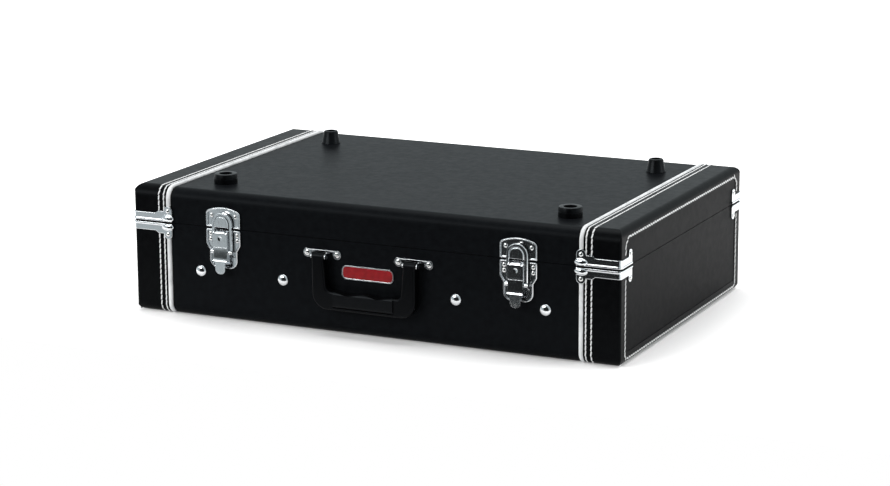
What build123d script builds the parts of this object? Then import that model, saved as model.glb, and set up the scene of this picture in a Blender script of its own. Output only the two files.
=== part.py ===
from build123d import *
import os
from math import cos, pi

# A hard case for guitar pedals.  The deep half stands on the floor, and the shallow half is hinged to it along
# the back and holds the pedal deck.  Millimetres; origin at the centre of the bottom face; X along the case,
# -Y is the front with the latches, +Z up.

# ---- driving dimensions: the case ----
CASE_WIDTH = 711.0          # over the folded end bands
CASE_DEPTH = 448.5          # over the centre covering, front to back
SEAM_HEIGHT = 127.6         # height of the deep half, where the lid meets it
LID_HEIGHT = 47.7           # without the feet
SEAM_GAP = 0.8
EDGE_RADIUS = 15.0          # the long front and back edges
PLY = 9.0
COVERING = 1.5              # leatherette with its backing
COVER_LIP = 32.0            # how far the front and back coverings turn under the bottom

# ---- end bands, skins and piping ----
PIPING_INSET = 53.5         # piping centre line, from the end of the case
PIPING_RADIUS = 3.1
PIPING_GROOVE = 1.2         # bare strip between the piping and the centre covering
BAND_PROUD = 1.5            # how far the bands stand proud of the centre covering
BAND_FOLD = 1.5             # thickness where a band folds over the end panel
BAND_EDGE_RADIUS = 4.0      # upright edges of the ends
END_RADIUS = 10.0           # top and bottom edges of the ends
FOLD_SIDE = 20.0            # width of the fold on the end, at the front and back
FOLD_TOP = 13.0
FOLD_BOTTOM = 16.0
FOLD_CORNER = 5.0
END_SKIN = 1.0
SKIN_CLEARANCE = 0.2

# ---- seam corner clips ----
CLIP_METAL = 1.2
CLIP_BAR = 11.0             # height of the bar beside the seam
CLIP_SEAM_BACK = 0.9        # the clip's edge stops short of its rim
CLIP_LOBE_RADIUS = 6.5
CLIP_LOBE_DROP = 16.0       # lobe centre, from the seam
CLIP_SHOULDER_END = 38.0    # end of the tall shoulder, from the end of the case
CLIP_SHOULDER = 14.0
CLIP_TAB_WIDTH = 11.0
CLIP_TAB_FROM_FRONT = 31.0  # centre of the upright tab on the end
CLIP_TAB_DROP = 16.0
CLIP_BEAD = 0.8
CLIP_BEAD_HEIGHT = 2.4
CLIP_KNOB = (9.0, 2.9, 4.6)         # half width, rise and half height of the bulge over the piping's end
CLIP_KNOB_DROP = 5.8

# ---- fasteners ----
RIVET_HEAD_RADIUS = 3.1
RIVET_HEAD_HEIGHT = 1.6
RIVET_SIDES = 10            # rivets are small and many, so their heads are faceted
RIVET_TAPER = 35.0
SCREW_RECESS = 0.9
SCREW_SLOT = 1.0
HOLE_CLEARANCE = 0.15

# ---- latches ----
LATCH_INSET = 139.5         # latch centre line, from the end of the case
LATCH_WIDTH = 52.0
LATCH_FOOT_WIDTH = 42.0
LATCH_METAL = 1.2
LATCH_PLATE_DROP = 54.5     # bottom of the base plate, from the seam
LATCH_PLATE_WAIST = 22.0    # where it starts to narrow, from the seam
LATCH_RIM = 2.4
LATCH_RIM_WIDTH = 2.2
LATCH_RIM_BEVEL = 0.7
KEEPER_SHOULDER = 23.0      # top corners of the keeper, above the seam
KEEPER_TOP = 29.0
TONGUE_RADIUS = 10.6
TONGUE_CENTRE = 7.4         # above the seam
TONGUE_BASE = 2.0
TONGUE_PROUD = 9.4
TONGUE_BEVEL = 1.3
LOOP_BAND = 4.0
RIM_GAP = 1.0               # between the loop and the broken rim beside it
LOOP_CLEARANCE = 0.4        # between tongue and loop
LOOP_BACK = 3.4             # back of the loop, from the covering
LOOP_THICKNESS = 4.2
LOOP_BEVEL = 0.9
LOOP_EYE_RADIUS = 3.2
LEVER_WIDTH = 21.2
LEVER_METAL = 1.1
LEVER_PIVOT_DROP = 5.6      # lever pin, below the seam
LEVER_PIVOT_OUT = 8.0
LEVER_BARREL = 4.0
LEVER_BACK = 2.0
LOOP_PIVOT_DROP = 31.1      # loop pin, below the seam
LOOP_PIVOT_OUT = 7.0
LEVER_GROOVE = 23.6         # pressed line across the lever, below the seam
LEVER_GROOVE_DEPTH = 0.5
LEVER_FLARE = 36.0          # where the lever starts to flare outwards, below the seam
LEVER_FLARE_OUT = 2.4
LEVER_PANEL_END = 42.5
LEVER_CHEEK_END = 37.5
LEVER_BUTTON_DROP = 12.0    # round dimple in the lever, below the seam
LEVER_BUTTON_RADIUS = 3.6
LEVER_BUTTON_DEPTH = 0.5
TAB_WIDTH = 15.0
TAB_METAL = 2.2
TAB_TOP = 40.0
TAB_END = 60.5
TAB_OUT = 0.8               # tip of the thumb tab, outside the lever's face
PIN_RADIUS = 1.5
PIN_RUNNING = 0.05
PIN_HEAD_RADIUS = 2.4
PIN_HEAD = 0.9
EAR_THICKNESS = 2.2
EAR_RADIUS = 2.6
EAR_ROOT_DROP = 1.4         # an ear's root sits lower than its eye, clear of the open lever
EAR_SIDE_GAP = 0.3
LATCH_RIVETS = ((20.2, 8.2), (20.2, 15.4))      # sideways, below the seam
KEEPER_RIVETS = ((17.9, 17.2),)                 # sideways, above the seam

# ---- handle ----
HANDLE_SPACING = 134.0      # between the two brackets
HANDLE_PIVOT_DROP = 21.6    # pivot, below the seam
HANDLE_PIVOT_OUT = 10.5
BRACKET_SCREW_SPACING = 43.8
BRACKET_SCREW_RISE = 1.6    # screws, above the pivot
BRACKET_EYE_RADIUS = 6.0
BRACKET_METAL = 1.4
BRACKET_BAR = 4.5           # height of the bar along the top, between the eyes
BRACKET_SCREW_RADIUS = 4.2
BRACKET_FLANGE = 4.6
BRACKET_EAR = 1.6
BRACKET_EAR_GAP = 0.5
HANDLE_PIN_RADIUS = 2.2
ARM_WIDTH = 17.0
ARM_THICKNESS = 12.0
HANDLE_REACH = 70.0         # from the pivot to the bottom of the grip
HANDLE_CORNER = 22.0
GRIP_HEIGHT = 25.0
OPENING_CORNER = 7.0
OPENING_TAPER = 4.0         # how far each side of the opening leans in at the bottom
HANDLE_EASE = 3.0           # rounding of the frame's outer edges
HANDLE_LIP = 3.6            # strip of the frame that runs under the grip
GRIP_LENGTH = 88.0
GRIP_THICKNESS = 15.0
GRIP_RADIUS = 5.0
GRIP_WAVE = 3.2
GRIP_WAVES = 2
CORE_HEIGHT = 10.0
CORE_THICKNESS = 8.0

# ---- front bolts and the rail behind them ----
STUD_INSETS = (228.5, 102.5)        # from the end of the case
STUD_HEIGHT = 65.5
STUD_RADIUS = 8.2
STUD_DOME = 4.4
STUD_SHANK_RADIUS = 3.0
RAIL_OVERHANG = 27.0        # past the outer bolts
RAIL_HEIGHT = 36.0
RAIL_THICKNESS = 15.0
NUT_ACROSS = 10.0
NUT_HEIGHT = 5.0
WASHER_RADIUS = 8.0
WASHER = 1.5

# ---- hinges ----
HINGE_INSET = 155.5         # hinge centre, from the end of the case
HINGE_WIDTH = 62.0
HINGE_LEAF = 30.0
HINGE_METAL = 1.5
HINGE_KNUCKLE = 4.0
HINGE_STANDOFF = 4.3        # pin centre, behind the covering
HINGE_PIN_RADIUS = 2.2
HINGE_KNUCKLES = 5
HINGE_KNUCKLE_GAP = 0.3
HINGE_RIVETS = ((-22.0, 12.0), (22.0, 12.0), (-11.0, 23.0), (11.0, 23.0))

# ---- feet on the lid ----
FOOT_INSET = 101.5          # from the end of the case, before the shift
FOOT_SHIFT = 6.0            # the feet follow the deck, which sits a little to the right
FRONT_FOOT_INSET = 62.75    # from the front
REAR_FOOT_INSET = 79.75     # from the back
LOW_FOOT = (16.0, 15.2, 13.1)       # base radius, top radius, height
TALL_FOOT = (13.8, 10.4, 18.4)
LOW_WELL = (8.8, 8.0)               # radius, depth
TALL_WELL = (6.2, 12.0)
LOW_BEVEL = 0.5
TALL_BEVEL = 2.2
FOOT_SCREW_RADIUS = 2.5
FOOT_SCREW_HEAD = (5.0, 2.8)        # radius, height
FOOT_NUT_RADIUS = 7.0
FOOT_NUT_SINK = 1.0
SCREW_TIP = 1.5             # how far a screw or bolt comes through its nut

# ---- inside ----
DECK_CLEARANCE = 1.5
DECK_BOARD = 6.0
DECK_CARPET = 2.5
PAD_THICKNESS = 12.0
PAD_CLEARANCE = 0.5

# ---- badge ----
BADGE_WIDTH = 76.0
BADGE_HEIGHT = 19.0
BADGE_DROP = 41.6           # badge centre, below the seam
BADGE_THICKNESS = 1.2
BADGE_RIM = 1.4

# ---- worked out from the above ----
CASE_HEIGHT = SEAM_HEIGHT + LID_HEIGHT
FRONT = -CASE_DEPTH / 2
BASE_RIM = SEAM_HEIGHT - SEAM_GAP / 2
LID_RIM = SEAM_HEIGHT + SEAM_GAP / 2
CARCASS_X = CASE_WIDTH / 2 - BAND_FOLD
INNER_X = CARCASS_X - PLY
INNER_Y = CASE_DEPTH / 2 - COVERING - PLY
FLOOR_Z = COVERING + PLY
CEILING_Z = CASE_HEIGHT - COVERING - PLY
PIPING_X = CASE_WIDTH / 2 - PIPING_INSET
BAND_FACE = CASE_DEPTH / 2 + BAND_PROUD
CLIP_TAB_Y = CLIP_TAB_FROM_FRONT - BAND_FACE
LATCH_X = CASE_WIDTH / 2 - LATCH_INSET
HINGE_X = CASE_WIDTH / 2 - HINGE_INSET
STUD_X = [CASE_WIDTH / 2 - inset for inset in STUD_INSETS]
BRACKET_X = HANDLE_SPACING / 2
PIVOT_Z = SEAM_HEIGHT - HANDLE_PIVOT_DROP
SCREW_X = [BRACKET_X + side * BRACKET_SCREW_SPACING / 2 for side in (-1, 1)]
SCREW_Z = PIVOT_Z + BRACKET_SCREW_RISE
HANDLE_BOTTOM = PIVOT_Z - HANDLE_REACH
OPENING_BOTTOM = HANDLE_BOTTOM + GRIP_HEIGHT
GRIP_BOTTOM = HANDLE_BOTTOM + HANDLE_LIP
FOOT_X = CASE_WIDTH / 2 - FOOT_INSET
FRONT_FOOT_Y = FRONT + FRONT_FOOT_INSET
REAR_FOOT_Y = -FRONT - REAR_FOOT_INSET
FOOT_PLACES = [(FOOT_SHIFT + side * FOOT_X, y) for side in (-1, 1) for y in (FRONT_FOOT_Y, REAR_FOOT_Y)]
FAR = 2.0 * CASE_WIDTH


# ---- small helpers ----
def slab(x0, x1, y0, y1, z0, z1):
    """Block between two opposite corners."""
    return Pos((x0 + x1) / 2, (y0 + y1) / 2, (z0 + z1) / 2) * Box(x1 - x0, y1 - y0, z1 - z0)


def rod(x, y, z, radius, length, axis):
    """Cylinder that starts at a point and runs along axis."""
    return extrude(Plane(origin=(x, y, z), z_dir=axis) * Circle(radius), length)


def prism(section, x0, x1):
    """Extrude a (Y, Z) sketch from x0 to x1."""
    return extrude(Plane.YZ.offset(x0) * section, x1 - x0, dir=(1, 0, 0))


def front_plate(section, out0, out1):
    """Extrude an (X, Z) sketch outwards, between two distances from the front covering."""
    plane = Plane(origin=(0, FRONT - out0, 0), x_dir=(1, 0, 0), z_dir=(0, -1, 0))
    return extrude(plane * section, out1 - out0, dir=(0, -1, 0))


def both_sides(shape):
    """The shape and its mirror image at the other end of the case."""
    return [shape, mirror(shape, about=Plane.YZ)]


def four_corners(shape):
    """The shape at all four vertical corners of the case."""
    return [s for one in both_sides(shape) for s in (one, mirror(one, about=Plane.XZ))]


def group(shapes):
    """Separate solids that share one node."""
    return Compound(children=[solid for shape in shapes for solid in shape.solids()])


def base_half(shape):
    """What lies below the seam."""
    return shape & slab(-FAR, FAR, -FAR, FAR, -FAR, BASE_RIM)


def lid_half(shape):
    """What lies above the seam."""
    return shape & slab(-FAR, FAR, -FAR, FAR, LID_RIM, FAR)


def rounded_ends(shape, half_width, low, high, radius):
    """The shape with the top and bottom edges of both its ends rounded."""
    profile = Pos(0, (low + high) / 2) * RectangleRounded(2 * half_width, high - low, radius)
    return shape & extrude(Plane.XZ * profile, FAR, both=True)


def case_section(grow, low, high, low_radius, high_radius):
    """Rounded section of the closed case in (Y, Z); grow widens it at the front and back."""
    face = Pos(0, (low + high) / 2) * Rectangle(CASE_DEPTH + 2 * grow, high - low)
    face = fillet(face.vertices().sort_by(Axis.Y)[:2], low_radius)
    return fillet(face.vertices().sort_by(Axis.Y)[-2:], high_radius)


# ---- rivets, and the holes for bolts and screws ----
def rivet(x, y, z, axis):
    """Head of a rivet, seated on the point and facing along axis."""
    head = extrude(RegularPolygon(RIVET_HEAD_RADIUS, RIVET_SIDES), RIVET_HEAD_HEIGHT, taper=RIVET_TAPER)
    return Plane(origin=(x, y, z), z_dir=axis) * head


def latch_rivet_sites(sign, places):
    """Places of the rivets on one plate of the right latch; sign is -1 below the seam and 1 above it."""
    return [(LATCH_X + side * across, FRONT - LATCH_METAL, SEAM_HEIGHT + sign * away, (0, -1, 0))
            for across, away in places for side in (-1, 1)]


def hinge_rivet_sites(sign):
    """Places of the rivets on one leaf of the right hinge."""
    return [(HINGE_X + across, CASE_DEPTH / 2 + HINGE_METAL, SEAM_HEIGHT + sign * away, (0, 1, 0))
            for across, away in HINGE_RIVETS]


def clip_rivet_sites(sign):
    """Places of the two rivets on the front right clip."""
    lobe = (PIPING_X, -BAND_FACE - CLIP_METAL, SEAM_HEIGHT + sign * CLIP_LOBE_DROP, (0, -1, 0))
    tab = (CASE_WIDTH / 2 + CLIP_METAL, CLIP_TAB_Y, SEAM_HEIGHT + sign * CLIP_TAB_DROP, (1, 0, 0))
    return [lobe, tab]


def rivets(sign, latch_places):
    """All the rivets of one half."""
    sites = latch_rivet_sites(sign, latch_places) + hinge_rivet_sites(sign)
    heads = [head for site in sites for head in both_sides(rivet(*site))]
    return group(heads + [head for site in clip_rivet_sites(sign) for head in four_corners(rivet(*site))])


def bolt_holes():
    """Holes for the dome bolts through the front wall and the rail behind it."""
    length = COVERING + PLY + RAIL_THICKNESS + 2
    radius = STUD_SHANK_RADIUS + HOLE_CLEARANCE
    return Compound(children=[
        hole for x in STUD_X for hole in both_sides(rod(x, FRONT - 1, STUD_HEIGHT, radius, length, (0, 1, 0)))])


def foot_holes():
    """Holes for the foot screws through the lid's top."""
    radius = FOOT_SCREW_RADIUS + HOLE_CLEARANCE
    length = COVERING + PLY + 2
    return Compound(children=[rod(x, y, CASE_HEIGHT + 1, radius, length, (0, 0, -1)) for x, y in FOOT_PLACES])


# ---- plywood shells ----
def carcass():
    """The closed case in bare plywood, solid."""
    radius = EDGE_RADIUS - COVERING
    low, high = COVERING, CASE_HEIGHT - COVERING
    body = prism(case_section(-COVERING, low, high, radius, radius), -CARCASS_X, CARCASS_X)
    return rounded_ends(body, CARCASS_X, low, high, END_RADIUS - BAND_PROUD - COVERING)


def mitred(z_edge, z_away):
    """Wedge that takes the front wall of a half, mitred at 45 degrees along the edge at height z_edge."""
    reach = 60.0
    slope = reach if z_edge > z_away else -reach
    corner = (-INNER_Y, z_edge)
    outline = [corner, (-INNER_Y - reach, z_edge + slope), (-INNER_Y - reach, z_away), (-INNER_Y, z_away)]
    return prism(make_face(Polyline(*outline, close=True)), -FAR, FAR)


def shell_panels(body, half, z_edge, holes):
    """Front, back, flat and two end panels of one half."""
    hollow = slab(-INNER_X, INNER_X, -INNER_Y, INNER_Y, FLOOR_Z, CEILING_Z)
    wrap = half(body & slab(-INNER_X, INNER_X, -FAR, FAR, -FAR, FAR)) - hollow
    front_wedge = mitred(z_edge, SEAM_HEIGHT)
    back_wedge = mirror(front_wedge, about=Plane.XZ)
    front = (wrap & front_wedge) - holes
    back = wrap & back_wedge
    flat = wrap - front_wedge - back_wedge - holes
    right = half(body & slab(INNER_X, FAR, -FAR, FAR, -FAR, FAR))
    left = half(body & slab(-FAR, -INNER_X, -FAR, FAR, -FAR, FAR))
    return front, back, flat, left, right


# ---- coverings, bands and piping ----
def centre_covering(body):
    """Leatherette sleeve round the closed case, between the pipings."""
    edge = PIPING_X - PIPING_RADIUS - PIPING_GROOVE
    outside = prism(case_section(0, 0, CASE_HEIGHT, EDGE_RADIUS, EDGE_RADIUS), -edge, edge)
    return outside - body


def fold_window(shrink, x0, x1):
    """The opening inside the folded band, on the end of the case."""
    half_y = CASE_DEPTH / 2 - FOLD_SIDE - shrink
    low = FOLD_BOTTOM + shrink
    high = CASE_HEIGHT - FOLD_TOP - shrink
    face = Pos(0, (low + high) / 2) * RectangleRounded(2 * half_y, high - low, FOLD_CORNER)
    return prism(face, x0, x1)


def end_band(body):
    """Band round the closed case at the right end, folded over on to the end panel."""
    inner = PIPING_X + PIPING_RADIUS
    section = case_section(BAND_PROUD, 0, CASE_HEIGHT + BAND_PROUD, EDGE_RADIUS, EDGE_RADIUS + BAND_PROUD)
    plan = RectangleRounded(CASE_WIDTH, 2 * BAND_FACE, BAND_EDGE_RADIUS)
    outside = prism(section, inner, CASE_WIDTH / 2) & extrude(plan, FAR, both=True)
    outside = rounded_ends(outside, CASE_WIDTH / 2, 0, CASE_HEIGHT + BAND_PROUD, END_RADIUS)
    return outside - body - fold_window(0, CARCASS_X - 1, CASE_WIDTH / 2 + 1)


def end_skin():
    """Leatherette on the right end, inside the fold."""
    return fold_window(SKIN_CLEARANCE, CARCASS_X, CARCASS_X + END_SKIN)


def piping(body, z_end, z_flat, radius):
    """Piping of one half at the right end: from seam to seam round the front, the flat side and the back."""
    y = CASE_DEPTH / 2
    path = FilletPolyline(
        (PIPING_X, -y, z_end), (PIPING_X, -y, z_flat), (PIPING_X, y, z_flat), (PIPING_X, y, z_end),
        radius=radius)
    section = Plane(origin=path @ 0, z_dir=path % 0) * Circle(PIPING_RADIUS)
    return sweep(section, path=path) - body


# ---- seam corner clips ----
def corner_strip(x_from, y_to, z_low, z_high, t_in, t_out):
    """Strip bent round the front right corner of the bands, between two distances from them."""
    def quadrant(t):
        block = slab(x_from, CASE_WIDTH / 2 + t, -BAND_FACE - t, y_to, z_low, z_high)
        corner = block.edges().filter_by(Axis.Z).sort_by(lambda e: e.center().X - e.center().Y)[-1]
        return fillet(corner, BAND_EDGE_RADIUS + t)
    return quadrant(t_out) - quadrant(t_in)


def corner_clip():
    """Clip below the seam at the front right corner."""
    top = BASE_RIM - CLIP_SEAM_BACK
    end = CASE_WIDTH / 2
    lobe_z = SEAM_HEIGHT - CLIP_LOBE_DROP
    tab_end = CLIP_TAB_Y + CLIP_TAB_WIDTH / 2
    lobe_x = PIPING_X - CLIP_LOBE_RADIUS
    bar = corner_strip(PIPING_X, tab_end, top - CLIP_BAR, top, 0, CLIP_METAL)
    bead = corner_strip(lobe_x, tab_end, top - CLIP_BEAD_HEIGHT, top, 0, CLIP_METAL + CLIP_BEAD)
    shoulder_end = end - CLIP_SHOULDER_END
    shoulder = Polyline(
        (lobe_x, top), (shoulder_end + 4.0, top), (shoulder_end + 4.0, top - CLIP_BAR),
        (shoulder_end, top - CLIP_SHOULDER), (PIPING_X, top - CLIP_SHOULDER), (lobe_x, lobe_z), close=True)
    lobe = make_face(shoulder) + Pos(PIPING_X, lobe_z) * Circle(CLIP_LOBE_RADIUS)
    front = front_plate(lobe, BAND_PROUD, BAND_PROUD + CLIP_METAL)
    tab_z = SEAM_HEIGHT - CLIP_TAB_DROP
    upright = Pos(CLIP_TAB_Y, (top + tab_z) / 2) * Rectangle(CLIP_TAB_WIDTH, top - tab_z)
    upright = upright + Pos(CLIP_TAB_Y, tab_z) * Circle(CLIP_TAB_WIDTH / 2)
    knob = Pos(PIPING_X, FRONT - BAND_PROUD - CLIP_METAL, SEAM_HEIGHT - CLIP_KNOB_DROP) * scale(Sphere(1), CLIP_KNOB)
    knob = knob & slab(0, FAR, -FAR, FRONT - BAND_PROUD - CLIP_METAL / 2, 0, FAR)
    return bar + bead + front + knob + prism(upright, end, end + CLIP_METAL)


# ---- latches ----
LEVER_Z = SEAM_HEIGHT - LEVER_PIVOT_DROP
LOOP_Z = SEAM_HEIGHT - LOOP_PIVOT_DROP
LOOP_INNER = TONGUE_RADIUS + LOOP_CLEARANCE
LOOP_OUTER = LOOP_INNER + LOOP_BAND
LEVER_HALF = LEVER_WIDTH / 2
CHEEK_IN = LEVER_HALF - LEVER_METAL - 0.2
EAR_OUT = CHEEK_IN - EAR_SIDE_GAP
EAR_IN = EAR_OUT - EAR_THICKNESS
LEVER_FACE = LEVER_PIVOT_OUT + LEVER_BARREL


def latch_outline():
    """Face of the base plate, as seen from the front, about X = 0."""
    half = LATCH_WIDTH / 2
    foot = LATCH_FOOT_WIDTH / 2
    top = BASE_RIM - CLIP_SEAM_BACK
    waist = SEAM_HEIGHT - LATCH_PLATE_WAIST
    bottom = SEAM_HEIGHT - LATCH_PLATE_DROP
    taper = 1.6 * (half - foot)
    points = [(-half, top), (half, top), (half, waist), (foot, waist - taper), (foot, bottom),
              (-foot, bottom), (-foot, waist - taper), (-half, waist)]
    face = make_face(Polyline(*points, close=True))
    face = fillet(face.vertices().group_by(Axis.Y)[0], 0.55 * foot)
    return fillet(face.vertices().group_by(Axis.Y)[-1], 2.0)


def keeper_outline():
    """Face of the keeper: straight at the seam, arched at the top."""
    half = LATCH_WIDTH / 2
    bottom = LID_RIM + CLIP_SEAM_BACK
    shoulder = SEAM_HEIGHT + KEEPER_SHOULDER
    arch = ThreePointArc((half, shoulder), (0, SEAM_HEIGHT + KEEPER_TOP), (-half, shoulder))
    sides = Polyline((-half, shoulder), (-half, bottom), (half, bottom), (half, shoulder))
    face = make_face(arch + sides)
    return fillet(face.vertices().group_by(Axis.Y)[-1], 6.0)


def rimmed(outline):
    """Pressed plate with a raised rim round its edge, broken at the seam where the loop passes."""
    plate = front_plate(outline, 0, LATCH_METAL)
    passage = Pos(0, SEAM_HEIGHT) * Rectangle(2 * (LOOP_OUTER + RIM_GAP), 4 * LATCH_RIM_WIDTH)
    inner = offset(outline, -LATCH_RIM_WIDTH)
    rim = front_plate(outline - inner - passage, LATCH_METAL, LATCH_METAL + LATCH_RIM)
    ridge = rim.faces().sort_by(Axis.Y)[0].edges()
    return plate + chamfer(ridge, LATCH_RIM_BEVEL)


def latch_axis_rod(radius, half_width, out, z):
    """Rod across the latch, along X, at a distance out from the covering."""
    return rod(-half_width, FRONT - out, z, radius, 2 * half_width, (1, 0, 0))


def latch_plate():
    """Base plate with the two ears that carry the lever pin."""
    plate = rimmed(latch_outline())
    root = FRONT - 0.5 * LATCH_METAL
    for side in (-1, 1):
        x0 = min(side * EAR_IN, side * EAR_OUT)
        low = LEVER_Z - EAR_RADIUS - EAR_ROOT_DROP
        post = slab(x0, x0 + EAR_THICKNESS, FRONT - LEVER_PIVOT_OUT, root, low, LEVER_Z + EAR_RADIUS - EAR_ROOT_DROP)
        eye = rod(x0, FRONT - LEVER_PIVOT_OUT, LEVER_Z, EAR_RADIUS, EAR_THICKNESS, (1, 0, 0))
        plate = plate + post + eye
    return plate - latch_axis_rod(PIN_RADIUS, LEVER_HALF, LEVER_PIVOT_OUT, LEVER_Z)


def keeper():
    """Plate on the lid with the raised half-round tongue that the loop pulls on."""
    plate = rimmed(keeper_outline())
    centre = SEAM_HEIGHT + TONGUE_CENTRE
    base = SEAM_HEIGHT + TONGUE_BASE
    tongue = Pos(0, centre) * Circle(TONGUE_RADIUS)
    tongue = tongue + Pos(0, (centre + base) / 2) * Rectangle(2 * TONGUE_RADIUS, centre - base)
    tongue = tongue & Pos(0, base + FAR / 2) * Rectangle(FAR, FAR)
    block = front_plate(tongue, LATCH_METAL, TONGUE_PROUD)
    block = chamfer(block.faces().sort_by(Axis.Y)[0].edges(), TONGUE_BEVEL)
    return plate + block


def latch_lever():
    """Channel lever: barrel at the top, dimpled panel, flared lower end and a thumb tab under it."""
    flare, end, cheek_end, groove_z, tab_top, tab_end = (
        SEAM_HEIGHT - drop for drop in (LEVER_FLARE, LEVER_PANEL_END, LEVER_CHEEK_END, LEVER_GROOVE, TAB_TOP, TAB_END))
    face = FRONT - LEVER_FACE
    barrel = latch_axis_rod(LEVER_BARREL, LEVER_HALF, LEVER_PIVOT_OUT, LEVER_Z)
    for side in (-1, 1):
        x0, x1 = sorted((side * (EAR_IN - EAR_SIDE_GAP), side * CHEEK_IN))
        slot = slab(x0, x1, face + LEVER_METAL, FRONT, LEVER_Z - FAR, LEVER_Z + FAR)
        open_top = slab(x0, x1, FRONT - FAR, FRONT, LEVER_Z, LEVER_Z + FAR)
        barrel = barrel - slot - open_top
    panel_outline = Polyline(
        (face, LEVER_Z), (face, flare), (face - LEVER_FLARE_OUT, end), (face - LEVER_FLARE_OUT + LEVER_METAL, end),
        (face + LEVER_METAL, flare), (face + LEVER_METAL, LEVER_Z), close=True)
    lever = barrel + prism(make_face(panel_outline), -LEVER_HALF, LEVER_HALF)
    for side in (-1, 1):
        x0, x1 = sorted((side * CHEEK_IN, side * LEVER_HALF))
        back = FRONT - LEVER_BACK
        cheek = Polyline(
            (face, LEVER_Z), (back, LEVER_Z), (back, cheek_end + LEVER_BARREL), (back - LEVER_BARREL, cheek_end),
            (face - LEVER_FLARE_OUT, end), (face, flare), close=True)
        lever = lever + prism(make_face(cheek), x0, x1)
    tab_outline = Polyline(
        (face - LEVER_FLARE_OUT / 2, end + LEVER_METAL), (face + LEVER_METAL, tab_top),
        (face + TAB_METAL, tab_top), (face + TAB_METAL - TAB_OUT, tab_end), (face - TAB_OUT, tab_end), close=True)
    tab = prism(make_face(tab_outline), -TAB_WIDTH / 2, TAB_WIDTH / 2)
    lever = lever + fillet(tab.edges().filter_by(Axis.Y, tolerance=30).group_by(Axis.Z)[0], 0.45 * TAB_WIDTH)
    groove = prism(Pos(face, groove_z) * Rectangle(2 * LEVER_GROOVE_DEPTH, 2 * LEVER_GROOVE_DEPTH), -FAR, FAR)
    dish = LEVER_BUTTON_RADIUS**2 / (2 * LEVER_BUTTON_DEPTH)
    button = Pos(0, face - dish + LEVER_BUTTON_DEPTH, SEAM_HEIGHT - LEVER_BUTTON_DROP) * Sphere(dish)
    lever = lever - groove - button - latch_axis_rod(PIN_RADIUS + PIN_RUNNING, FAR, LEVER_PIVOT_OUT, LEVER_Z)
    return lever - latch_axis_rod(PIN_RADIUS, FAR, LOOP_PIVOT_OUT, LOOP_Z)


def latch_loop():
    """Ring with a round top and an eye at the foot of each leg."""
    centre = SEAM_HEIGHT + TONGUE_CENTRE
    legs = Pos(0, (centre + LOOP_Z) / 2) * Rectangle(2 * LOOP_OUTER, centre - LOOP_Z)
    opening = Pos(0, (centre + LOOP_Z) / 2) * Rectangle(2 * LOOP_INNER, centre - LOOP_Z)
    face = (Pos(0, centre) * Circle(LOOP_OUTER) + legs) - (Pos(0, centre) * Circle(LOOP_INNER) + opening)
    ring = front_plate(face, LOOP_BACK, LOOP_BACK + LOOP_THICKNESS)
    ring = chamfer(ring.faces().sort_by(Axis.Y)[0].edges(), LOOP_BEVEL)
    for side in (-1, 1):
        x0 = min(side * LOOP_INNER, side * LOOP_OUTER)
        ring = ring + rod(x0, FRONT - LOOP_PIVOT_OUT, LOOP_Z, LOOP_EYE_RADIUS, LOOP_BAND, (1, 0, 0))
    return ring - latch_axis_rod(PIN_RADIUS + PIN_RUNNING, LOOP_OUTER + 1, LOOP_PIVOT_OUT, LOOP_Z)


def loop_pin():
    """Pin across the lever that the loop turns on, with a head at each end."""
    pin = latch_axis_rod(PIN_RADIUS, LOOP_OUTER + PIN_RUNNING + PIN_HEAD, LOOP_PIVOT_OUT, LOOP_Z)
    for side in (-1, 1):
        start = side * (LOOP_OUTER + PIN_RUNNING)
        x0 = min(start, start + side * PIN_HEAD)
        pin = pin + rod(x0, FRONT - LOOP_PIVOT_OUT, LOOP_Z, PIN_HEAD_RADIUS, PIN_HEAD, (1, 0, 0))
    return pin


# ---- handle ----
def handle_bracket():
    """Plate with two screw eyes, a top flange and two ears for the pivot pin, at the right."""
    eyes = [Pos(x, SCREW_Z) * Circle(BRACKET_EYE_RADIUS) for x in SCREW_X]
    top = SCREW_Z + BRACKET_EYE_RADIUS
    bar = Pos(BRACKET_X, top - BRACKET_BAR / 2) * Rectangle(BRACKET_SCREW_SPACING, BRACKET_BAR)
    plate = front_plate(bar + eyes[0] + eyes[1], 0, BRACKET_METAL)
    half = BRACKET_SCREW_SPACING / 2
    flange = slab(BRACKET_X - half, BRACKET_X + half, FRONT - BRACKET_FLANGE, FRONT, top - BRACKET_METAL, top)
    plate = plate + flange
    eye = HANDLE_PIN_RADIUS + BRACKET_EAR
    root = FRONT - BRACKET_METAL / 2
    ear_face = Pos(FRONT - HANDLE_PIVOT_OUT, PIVOT_Z) * Circle(eye)
    neck = Polyline(
        (root, PIVOT_Z - eye), (FRONT - HANDLE_PIVOT_OUT, PIVOT_Z - eye),
        (FRONT - HANDLE_PIVOT_OUT, PIVOT_Z + eye), (root, top - BRACKET_METAL), close=True)
    for side in (-1, 1):
        near = BRACKET_X + side * (ARM_WIDTH / 2 + BRACKET_EAR_GAP)
        x0, x1 = sorted((near, near + side * BRACKET_EAR))
        plate = plate + prism(ear_face + make_face(neck), x0, x1)
    return plate - handle_pin_rod(HANDLE_PIN_RADIUS)


def handle_pin_rod(radius):
    """Pivot pin of the right bracket, or its bore."""
    half = ARM_WIDTH / 2 + BRACKET_EAR_GAP + BRACKET_EAR
    y = FRONT - HANDLE_PIVOT_OUT
    return rod(BRACKET_X - half, y, PIVOT_Z, radius, 2 * half, (1, 0, 0))


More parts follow.
